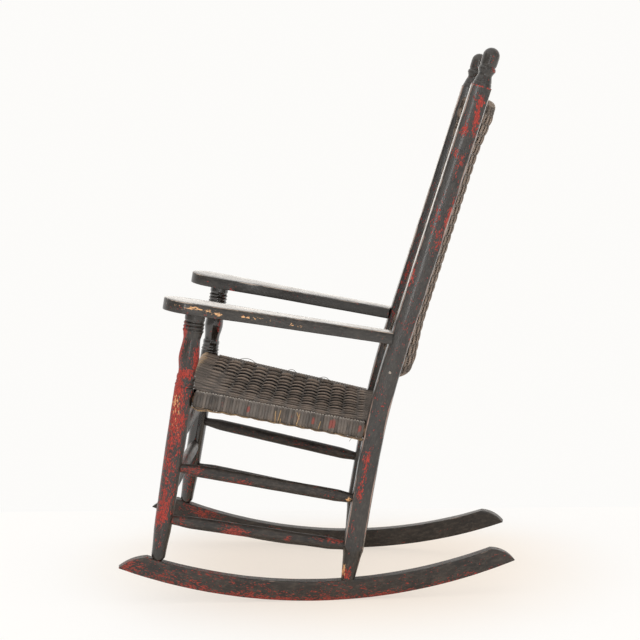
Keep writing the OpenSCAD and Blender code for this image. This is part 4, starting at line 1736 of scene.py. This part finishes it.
        # its looks: painted light, brown where it shows between the long strands and dark where it lies under
        # them, red marks on the left rail
        shown = np.square(np.maximum(-wave, 0.0))
        rail = np.full(self.turn_steps, 0.7)
        crest = np.concatenate([0.34 - inside * relief * (0.32 - 0.44 * shown), rail, 0.5 - 0.4 * wave_b, rail])
        outer = smooth((np.abs(x) - half + 0.004) / 0.008)
        low_edge = smooth((-n - 0.008) / 0.004) * smooth((np.abs(x) - half + 0.012) / 0.01)
        marks = min(sum(math.exp(-(((w - at) / self.mark_width) ** 2)) for at in self.red_marks), 1.0)
        red = outer * smooth((x - half) / 0.01) * marks * np.exp(-(((n - 0.004) / 0.011) ** 2)) * 0.78
        pressed = np.concatenate([0.8 * (1 - relief), np.zeros(len(x) - len(xs))])
        painted = np.maximum(outer, pressed) * 0.95
        width = self.cross_pitch * (0.5 + 0.13 * outer)
        path = self.place(x, np.full_like(x, w), n)
        return Strand(path, facing, width, crest, float(self.random.random()), painted, red, 0.50 * low_edge)

    def long_strand(self, index: int) -> Strand:
        """One strand wound round the front and back rails.

        Args:
            index: its number, from the sitter's right.

        Returns:
            The strand.
        """
        place = index % self.long_group - (self.long_group - 1) / 2
        parity = -1 if index // self.long_group % 2 else 1
        s = (index + 0.5) / self.long_count * 2 - 1
        s += self.random.normal(0, 0.0006)
        lift = self.random.normal(0, 0.0002)
        r, turns = self.radius, self.turns
        ws = np.linspace(0, self.depth, self.long_top)
        wb = np.linspace(self.depth, 0, self.long_under)
        woven, woven_b = self.woven(ws), self.woven(wb)
        wave = soft_wave(self.cell(ws), 0.9) * parity * woven + (1 - woven)
        wave_b = soft_wave(self.cell(wb), 1.5) * parity * woven_b + (1 - woven_b)
        relief = self.relief(s, ws)
        # the path: over the seat, round the back rail, under the seat, round the front rail
        share = s * (1 - self.edge / self.half(ws))
        bunch = (0.0009 - 0.0014 * place * place) * np.maximum(wave, 0.0)
        top = self.level + woven * relief * (self.rise * wave + bunch) + (1 - woven) * self.cross_rise
        top = top - self.sag * self.dip(share, ws) + lift * woven
        loose = math.exp(-(((s - 1.0) / 0.03) ** 2)) * smooth((ws - 0.17) / 0.02) * smooth((0.34 - ws) / 0.02)
        top = top - 0.0042 * loose
        flat = self.rail_step - r
        bottom = flat + woven_b * (-self.under + self.under_rise * wave_b - flat)
        bottom = bottom - self.bottom_sag * self.dip(s, wb)
        w = np.concatenate([ws, self.depth + r * np.sin(turns), wb, -r * np.sin(turns)])
        n = np.concatenate([top, self.rail_step + r * np.cos(turns), bottom, self.rail_step - r * np.cos(turns)])
        x = s * (self.half(w) - self.edge)
        out_w, out_n = wound_facing(len(ws), turns, len(wb))
        facing = out_w[:, None] * self.back + out_n[:, None] * self.up
        # its looks: painted light, brown on its crests, darker on the flanks of each group and where it dives
        # under; raw rush and a painted highlight on the front rail
        side = 1 - 0.42 * place * place * woven * relief
        plain = 0.62 - 0.20 * smooth(ws / 0.05)
        over = ((0.5 + 0.5 * wave) * woven + plain * (1 - woven)) * side
        roll = np.ones(self.turn_steps)
        crest = np.concatenate([over, roll * 0.8, 0.5 - 0.5 * wave_b, roll])
        # the front roll gets raw colour: partly raw rush, partly a painted highlight where the roll faces the
        # light
        front_roll_highlight = smooth((0.024 - w) / 0.03) * smooth((n + 0.006) / 0.01)
        frayed_and_highlight = front_roll_highlight * (0.54 - 0.08 * float(smooth((s + 0.75) / 0.5)))
        painted = 0.55 * np.concatenate([1 - relief, np.zeros(len(w) - len(ws))])
        # the underside is laid close, so that no light shows through the seat
        below = np.concatenate([np.zeros(len(ws)), roll * 0, np.ones(len(wb)), roll * 0])
        width = (self.half(w) - self.edge) / self.long_count * (1.02 + 0.18 * below)
        path = self.place(x, w, n)
        return Strand(path, facing, width, crest, float(self.random.random()), painted, 0.0, frayed_and_highlight)

    def fibre(self, points: Sequence[Triple], half_width: float, bare: float, tone: float = 0.5) -> Strand:
        """A loose strand.

        Args:
            points: a few points of it, as distances across, back and above the rails.
            half_width: half its thickness.
            bare: how raw it is.
            tone: its own shade.

        Returns:
            The strand, smoothed through the points.
        """
        rough = np.array(points)
        finer = 3 if len(rough) > 20 else 6
        knots = np.linspace(0, 1, len(rough))
        fine = np.linspace(0, 1, finer * len(rough))
        x, w, n = (np.interp(fine, knots, rough[:, k]) for k in range(3))
        for _ in range(3):
            for line in (x, w, n):
                line[1:-1] = (line[:-2] + line[1:-1] * 2 + line[2:]) / 4
        facing = np.tile(np.array([1.0, 0.0, 0.2]), (len(fine), 1))
        thick = half_width / self.half_thick
        return Strand(self.place(x, w, n), facing, half_width, 0.8, tone, bare=bare, closed=False, thick=thick)

    def frayed_edge(self, side: Side) -> Iterable[Strand]:
        """The frayed strands that hang in shallow loops under a side rail.

        Args:
            side: which rail.

        Returns:
            The strands, from the outermost in.
        """
        group = self.cross_pitch * self.cross_group
        for layer in range(self.edge_layers):
            points = []
            start = self.cross_from - 0.006 + 0.003 * layer
            for w in np.arange(start, self.cross_to + 0.006, 0.0045):
                droop = 0.0026 * math.sqrt(abs(math.sin(math.pi * (w - self.cross_from) / group)))
                front = 0.0036 * math.exp(-(((w - self.cross_from) / 0.045) ** 2))
                ends = front + 0.0034 * math.exp(-(((w - self.cross_to) / 0.045) ** 2))
                x = float(self.half(w)) + 0.0118 - 0.0022 * layer + self.random.normal(0, 0.0005)
                low = -0.0134 - 0.0005 * layer - droop - ends * (0.05 + 0.19 * layer)
                points.append((side.value * x, float(w), low + self.random.normal(0, 0.0004)))
            yield self.fibre(points, 0.0011 + 0.0003 * (layer % 2), 0.44 + 0.04 * layer, 0.2 + 0.13 * layer)

    def loose_ends(self) -> Iterable[Strand]:
        """The few strands that have come loose: loops on the right edge, raw ends on the left.

        Returns:
            The strands.
        """
        for start, end, height in self.loops:
            half = float(self.half((start + end) / 2)) - 0.004
            points = []
            for t in np.linspace(0, 1, 7):
                n = 0.0130 + (height + 0.005) * math.sin(math.pi * t)
                points.append((-half, start + (end - start) * t, n))
            yield self.fibre(points, 0.0007, 0.0, 0.3)
        reach = 0.0172
        for at, lean, low, high in self.raw_ends:
            rail = float(self.half(at))
            points = []
            for t in np.linspace(0, 1, 5):
                n = high + (low - high) * t
                out = 0.0168 * math.sqrt(max(0.0, 1 - (n / reach) ** 2))
                points.append((rail + out + 0.0014, at + lean * t, n))
            yield self.fibre(points, 0.0009, 0.66, 0.7)
        at = self.cross_to - 0.020
        half = float(self.half(at))
        end = [(half + 0.012, at, -0.015), (half + 0.014, at - 0.002, -0.020), (half + 0.014, at - 0.005, -0.026)]
        yield self.fibre(end, 0.0005, 0.0, 0.2)

    def build(self, material: Material) -> None:
        """Makes both sets of strands.

        Args:
            material: the rush.
        """
        cross = StrandMesh("seat_cross_strand_windings", self.half_thick)
        cross.add_all(self.cross_strand(index) for index in range(self.cross_count))
        for side in Side:
            cross.add_all(self.frayed_edge(side))
        cross.add_all(self.loose_ends())
        install(cross.finish(self.bench), material, "rush", "seat_cross_strands")
        along = StrandMesh("seat_long_strand_windings", self.half_thick)
        along.add_all(self.long_strand(index) for index in range(self.long_count))
        install(along.finish(self.bench), material, "rush", "seat_long_strands")


@dataclass
class BackPanel:
    """The back: strands wound round the two bowed rails, woven with rows across."""

    plan: Plan
    bench: Bench
    half: float = 0.183
    low: float = -0.035
    high: float = 0.549
    bow_depth: float = 0.039
    rail: float = 0.0113
    half_thick: float = 0.00125
    draw: float = 0.0085
    rise: float = 0.0021
    upright_count: int = 60
    upright_group: int = 3
    row_from: float = -0.021
    row_to: float = 0.534
    row_count: int = 100
    row_group: int = 4
    steps: int = 106
    row_steps: int = 64
    turn_steps: int = 9
    row_turn_steps: int = 5
    edge_shares: Triple = (0.16, 0.50, 0.84)

    def __post_init__(self) -> None:
        """Works out the panel's own axes."""
        lean = self.plan.lean_high
        y, z = self.plan.bend_end
        self.origin = np.array([0.0, y, z])
        self.rear = np.array([0.0, math.cos(lean), -math.sin(lean)])
        self.rise_dir = np.array([0.0, math.sin(lean), math.cos(lean)])
        span = self.plan.back_half - self.plan.back_post_width / 2
        self.bow_radius = (span**2 + self.bow_depth**2) / (2 * self.bow_depth)
        self.radius = self.rail + self.half_thick + 0.0004
        self.row_pitch = (self.row_to - self.row_from) / self.row_count
        self.heights = np.linspace(self.low, self.high, self.steps)
        self.turns = half_turn(self.turn_steps)
        self.random = np.random.default_rng(SEED + 1)

    def bow(self, x: Any) -> Any:
        """How far the rails stand behind the posts at distance x from the middle."""
        return np.sqrt(self.bow_radius**2 - np.square(x)) - self.bow_radius + self.bow_depth

    def layer(self, s: Any) -> Any:
        """Distance of each layer of the panel from its middle at height s."""
        t = (np.asarray(s) - self.low) / (self.high - self.low)
        return self.radius - self.draw * smooth(6 * t * (1 - t)) + 0.0008

    def place(self, x: np.ndarray, d: np.ndarray, s: np.ndarray) -> np.ndarray:
        """Points from distances across, rearward and up the posts."""
        return self.origin + x[:, None] * ACROSS + d[:, None] * self.rear + s[:, None] * self.rise_dir

    def loop(self, bow: float, away: np.ndarray, radius: float) -> tuple[np.ndarray, np.ndarray]:
        """A line up the rear face, over the top rail, down the front and round the bottom rail.

        Args:
            bow: how far the rails stand behind the posts there.
            away: its distance from the panel's middle at each height.
            radius: its distance from the rails' centres where it turns.

        Returns:
            Its distances rearward and up the posts.
        """
        out, over = radius * np.cos(self.turns), radius * np.sin(self.turns)
        d = np.concatenate([bow + away, bow + out, bow - away[::-1], bow - out])
        s = np.concatenate([self.heights, self.high + over, self.heights[::-1], self.low - over])
        return d, s

    def upright(self, index: int) -> Strand:
        """One strand wound round the top and bottom rails.

        Args:
            index: its number, from the sitter's right.

        Returns:
            The strand.
        """
        parity = -1 if index // self.upright_group % 2 else 1
        x0 = -self.half + (index + 0.5) * 2 * self.half / self.upright_count + self.random.normal(0, 0.0002)
        ss = self.heights
        woven = smooth((ss - self.row_from + 0.008) / 0.012) * smooth((self.row_to + 0.008 - ss) / 0.012)
        rows = (ss - self.row_from) / (self.row_pitch * self.row_group) - 0.5
        wave = soft_wave(rows, 1.3) * parity * woven
        away = self.layer(ss) * woven + self.radius * (1 - woven) + self.rise * wave
        d, s = self.loop(float(self.bow(x0)), away, self.radius)
        out_s, out_d = wound_facing(self.steps, self.turns, self.steps)
        facing = out_d[:, None] * self.rear + out_s[:, None] * self.rise_dir
        roll = np.ones(self.turn_steps)
        # painted light: brown where the strand lies on top of a row, dark where it passes under
        crest = np.concatenate([0.5 + 0.5 * wave, roll * 0.8, 0.5 + 0.5 * wave[::-1], roll * 0.8])
        # laid close round the rails, where no rows hide what is behind
        plain = np.concatenate([1 - woven, roll, 1 - woven[::-1], roll])
        width = self.half / self.upright_count * (1.02 + 0.18 * plain)
        frayed_and_highlight = smooth((s - self.high - 0.006) / 0.006) * 0.38
        path = self.place(np.full_like(s, x0), d, s)
        return Strand(path, facing, width, crest, float(self.random.random()), bare=frayed_and_highlight)

    def row(self, index: int) -> Strand:
        """One strand woven across both layers and turned at the outer uprights.

        Args:
            index: its number, from the bottom.

        Returns:
            The strand.
        """
        parity = -1 if index // self.row_group % 2 else 1
        s0 = self.row_from + (index + 0.5) * self.row_pitch + self.random.normal(0, 0.0002)
        xs = np.linspace(-self.half, self.half, self.row_steps)
        columns = self.upright_count / self.upright_group
        wave = -soft_wave((xs / self.half + 1) / 2 * columns - 0.5, 1.2) * parity
        away = float(self.layer(s0)) - 0.0007 + 0.35 * self.rise * wave
        bow, end_bow = self.bow(xs), float(self.bow(self.half))
        turns = half_turn(self.row_turn_steps)
        bulge = 0.0019 * np.sin(turns)
        edge = np.interp(turns, [0, math.pi], [away[-1], -away[-1]])
        x = np.concatenate([xs, self.half + bulge, xs[::-1], -self.half - bulge])
        d = np.concatenate([bow + away, end_bow + edge, (bow - away)[::-1], end_bow - edge])
        out_x, out_d = wound_facing(len(xs), turns, len(xs))
        facing = out_d[:, None] * self.rear + out_x[:, None] * ACROSS
        # painted light: lighter where the row lies on top, dark where it passes under the uprights
        shown = 0.12 + 0.46 * np.square(np.maximum(wave, 0.0))
        roll = np.full(len(turns), 0.3)
        crest = np.concatenate([shown, roll, shown[::-1], roll])
        path = self.place(x, d, np.full_like(x, s0))
        return Strand(path, facing, self.row_pitch * 0.5, crest, float(self.random.random()))

    def edge_loop(self, side: Side, share: float) -> Strand:
        """One strand laid flat on the panel's edge.

        Args:
            side: which edge.
            share: 0 at the panel's middle, 1 at its faces.

        Returns:
            The strand.
        """
        away = share * (self.layer(self.heights) + 0.0010) + self.random.normal(0, 0.00012, self.steps)
        d, s = self.loop(float(self.bow(self.half)), away, share * self.radius)
        path = self.place(np.full_like(s, side.value * (self.half + 0.0014)), d, s)
        facing = np.tile(side.value * ACROSS, (len(s), 1))
        # light and dark bands painted along the edge strand
        crest = 0.55 + 0.25 * np.sin(s * 280.0 + share * 9.0)
        return Strand(path, facing, 0.145 * self.radius, crest, float(self.random.random()), painted=0.35)

    def build(self, material: Material) -> None:
        """Makes both sets of strands.

        Args:
            material: the rush.
        """
        uprights = StrandMesh("back_upright_windings", self.half_thick)
        uprights.add_all(self.upright(index) for index in range(self.upright_count))
        uprights.add_all(self.edge_loop(side, share) for side in Side for share in self.edge_shares)
        install(uprights.finish(self.bench), material, "rush", "back_weave")
        rows = StrandMesh("back_row_windings", self.half_thick)
        rows.add_all(self.row(index) for index in range(self.row_count))
        install(rows.finish(self.bench), material, "rush", "back_weave")


# ----------------------------------------------------------------------- studio


def aim(name: str, data: Any, at: Triple, ahead: Vector) -> Piece:
    """Stands a camera or a lamp in the room.

    Args:
        name: its name.
        data: the camera's or the lamp's own data.
        at: where it stands.
        ahead: the way it faces.

    Returns:
        The object.
    """
    thing = bpy.data.objects.new(name, data)
    bpy.context.scene.collection.objects.link(thing)
    thing.location = at
    thing.rotation_mode = "QUATERNION"
    thing.rotation_quaternion = ahead.to_track_quat("-Z", "Y")
    return thing


@dataclass(frozen=True)
class Lamp:
    """A soft lamp: where it stands, how wide and high it is, its power and its colour."""

    name: str
    at: Triple
    size: tuple[float, float]
    power: float
    colour: Triple = (1.0, 1.0, 1.0)

    def light(self, target: Triple) -> None:
        """Adds the lamp and turns it to its target.

        Args:
            target: the point it faces.
        """
        data = bpy.data.lights.new(self.name, "AREA")
        data.shape = "RECTANGLE"
        data.size, data.size_y = self.size
        data.energy = self.power
        data.color = self.colour
        aim(self.name, data, self.at, Vector(target) - Vector(self.at))


@dataclass
class Studio:
    """A pale floor, soft light and the camera of the photograph."""

    eye: Triple = (3.600, 0.1282, 1.0387)
    pitch: float = 0.1302
    yaw: float = -0.0368
    lens: float = 93.03
    white: Triple = (0.978, 0.969, 0.951)
    sky: Triple = (1.0, 0.985, 0.965)
    floor_colour: Triple = (0.982, 0.973, 0.960)
    # the floor's colour and glow inside the painted shadow round the chair
    painted_shadow_colour: Triple = (0.970, 0.835, 0.690)
    lit_floor: Triple = (0.992, 0.979, 0.958)
    painted_shadow_glow: Triple = (0.968, 0.888, 0.805)
    painted_shadow_centre: Triple = (-0.08, 0.05, 0.0)
    fill: float = 0.68
    dome: float = 0.985
    dim: float = 0.34
    wall_line: float = -0.555
    wall_turn: float = math.radians(4.1)
    chair_middle: Triple = (0.0, 0.0, 0.45)
    lamps: tuple[Lamp, ...] = (
        Lamp("overhead_softbox", (0.8, -0.6, 3.0), (2.4, 2.4), 7.0),
        Lamp("side_strip", (4.4, -0.12, 1.5), (0.26, 2.8), 26.0),
        Lamp("side_softbox", (3.6, 2.6, 1.7), (0.9, 1.6), 12.0),
        Lamp("backdrop_strip", (-8.0, 0.4, 1.30), (9.0, 1.8), 80.0, (1.0, 0.93, 0.84)),
    )

    def camera(self) -> None:
        """Places the camera."""
        data = bpy.data.cameras.new("camera")
        data.sensor_width = 36.0
        data.lens = self.lens
        data.clip_start, data.clip_end = 0.1, 60.0
        cos_p, sin_p = math.cos(self.pitch), math.sin(self.pitch)
        ahead = Vector((-cos_p * math.cos(self.yaw), cos_p * math.sin(self.yaw), -sin_p))
        bpy.context.scene.camera = aim("camera", data, self.eye, ahead)

    def seen_white(self, shader: Shader) -> Signal:
        """1 for rays that show the backdrop: camera, mirror-like and see-through ones."""
        ways = shader.ray("Is Camera Ray") + shader.ray("Is Glossy Ray") + shader.ray("Is Transmission Ray")
        return shader.math("MINIMUM", ways, 1.0)

    def floor(self) -> None:
        """Makes the floor: cream, with a painted warm shadow round the chair, and white beyond the line behind
        it.
        """
        bpy.ops.object.select_all(action="DESELECT")
        bpy.ops.mesh.primitive_plane_add(size=30.0)
        floor = bpy.context.object
        floor.name = "studio_floor"
        shader = Shader("studio_floor")
        place = shader.place()
        ahead = shader.toward(place, (math.cos(self.wall_turn), math.sin(self.wall_turn), 0.0))
        beyond = (self.wall_line - ahead).step(0.0, 0.02)
        # a warm shadow painted on the floor under and round the chair, in its colour and its glow
        sockets = {0: place, 1: self.painted_shadow_centre}
        reach = shader.node("ShaderNodeVectorMath", {"operation": "DISTANCE"}, sockets, "Value")
        outside_painted_shadow = 1.0 - (1.0 - reach.step(0.22, 0.70)) * (ahead - self.wall_line).step(0.0, 0.34)
        tint = shader.blend(outside_painted_shadow, self.painted_shadow_colour, self.floor_colour)
        shader.set(Base_Color=tint, Roughness=0.9, Specular_IOR_Level=0.0)
        lit = shader.blend(outside_painted_shadow, self.painted_shadow_glow, self.lit_floor)
        sheen = shader.node("ShaderNodeEmission", None, {"Color": lit, "Strength": 1.0})
        own = Signal(shader, shader.surface.outputs[0])
        filled = shader.ray("Is Camera Ray") * self.fill
        near = shader.node("ShaderNodeMixShader", None, {0: filled, 1: own, 2: sheen})
        glow = shader.node("ShaderNodeEmission", None, {"Color": self.white, "Strength": 1.0})
        share = beyond * self.seen_white(shader)
        both = shader.node("ShaderNodeMixShader", None, {0: share, 1: near, 2: glow})
        output = next(n for n in shader.tree.nodes if n.type == "OUTPUT_MATERIAL")
        shader.tree.links.new(both.socket, output.inputs["Surface"])
        floor.data.materials.append(shader.material)

    def world(self) -> None:
        """Lights the room softly all round; it looks white itself."""
        world = bpy.data.worlds.new("studio")
        bpy.context.scene.world = world
        shader = Shader("studio", world)
        camera, glossy = shader.ray("Is Camera Ray"), shader.ray("Is Glossy Ray")
        view = shader.place("Generated")
        behind = shader.toward(view, (-1.0, 0.0, 0.0))
        above = shader.toward(view, (0.0, 0.0, 1.0))
        bright = shader.math("MAXIMUM", behind.step(-0.10, 0.40), above.step(0.10, 0.75) * 0.8)
        seen = bright * (1.0 - self.dim) + self.dim - self.dome
        shader.set(
            Color=shader.blend(camera, self.sky, self.white),
            Strength=camera * (1.0 - self.dome) + glossy * seen + self.dome,
        )

    def build(self) -> None:
        """Sets the stage."""
        bpy.context.scene.view_settings.view_transform = "Standard"
        self.camera()
        self.floor()
        self.world()
        for lamp in self.lamps:
            lamp.light(self.chair_middle)


def dress_rails(material: Material) -> None:
    """Gives the rails inside the weave their finish; their solids stay.

    Args:
        material: the rails' finish.
    """
    rails = (
        "seat_rail_left", "seat_rail_right", "seat_rail_front", "seat_rail_back",
        "back_rail_top", "back_rail_bottom",
    )
    for name in rails:
        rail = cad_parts[name]
        rail.data.materials.clear()
        rail.data.materials.append(material)


def main() -> None:
    """Builds the studio and the chair's pieces in order."""
    logging.basicConfig(level=logging.INFO, format="%(message)s")
    plan, bench = Plan(), Bench()
    Studio().build()
    paint = WornPaint().material()
    rush = RushFinish().material()
    FrontPosts(plan, bench).build({Side.LEFT: paint, Side.RIGHT: SHINY_PAINT.material()})
    BackPosts(plan, bench).build(paint)
    Arms(plan, bench).build(POLISHED_SHEEN_PAINT.material())
    dry = DRY_PAINT.material()
    for assembly in (Rockers(plan, bench), Rungs(plan, bench)):
        assembly.build(dry)
    NailHeads(plan).build(OldSteel().material())
    dress_rails(RailWood().material())
    SeatWeave(plan, bench).build(rush)
    BackPanel(plan, bench).build(rush)


if __name__ == "__main__":
    main()
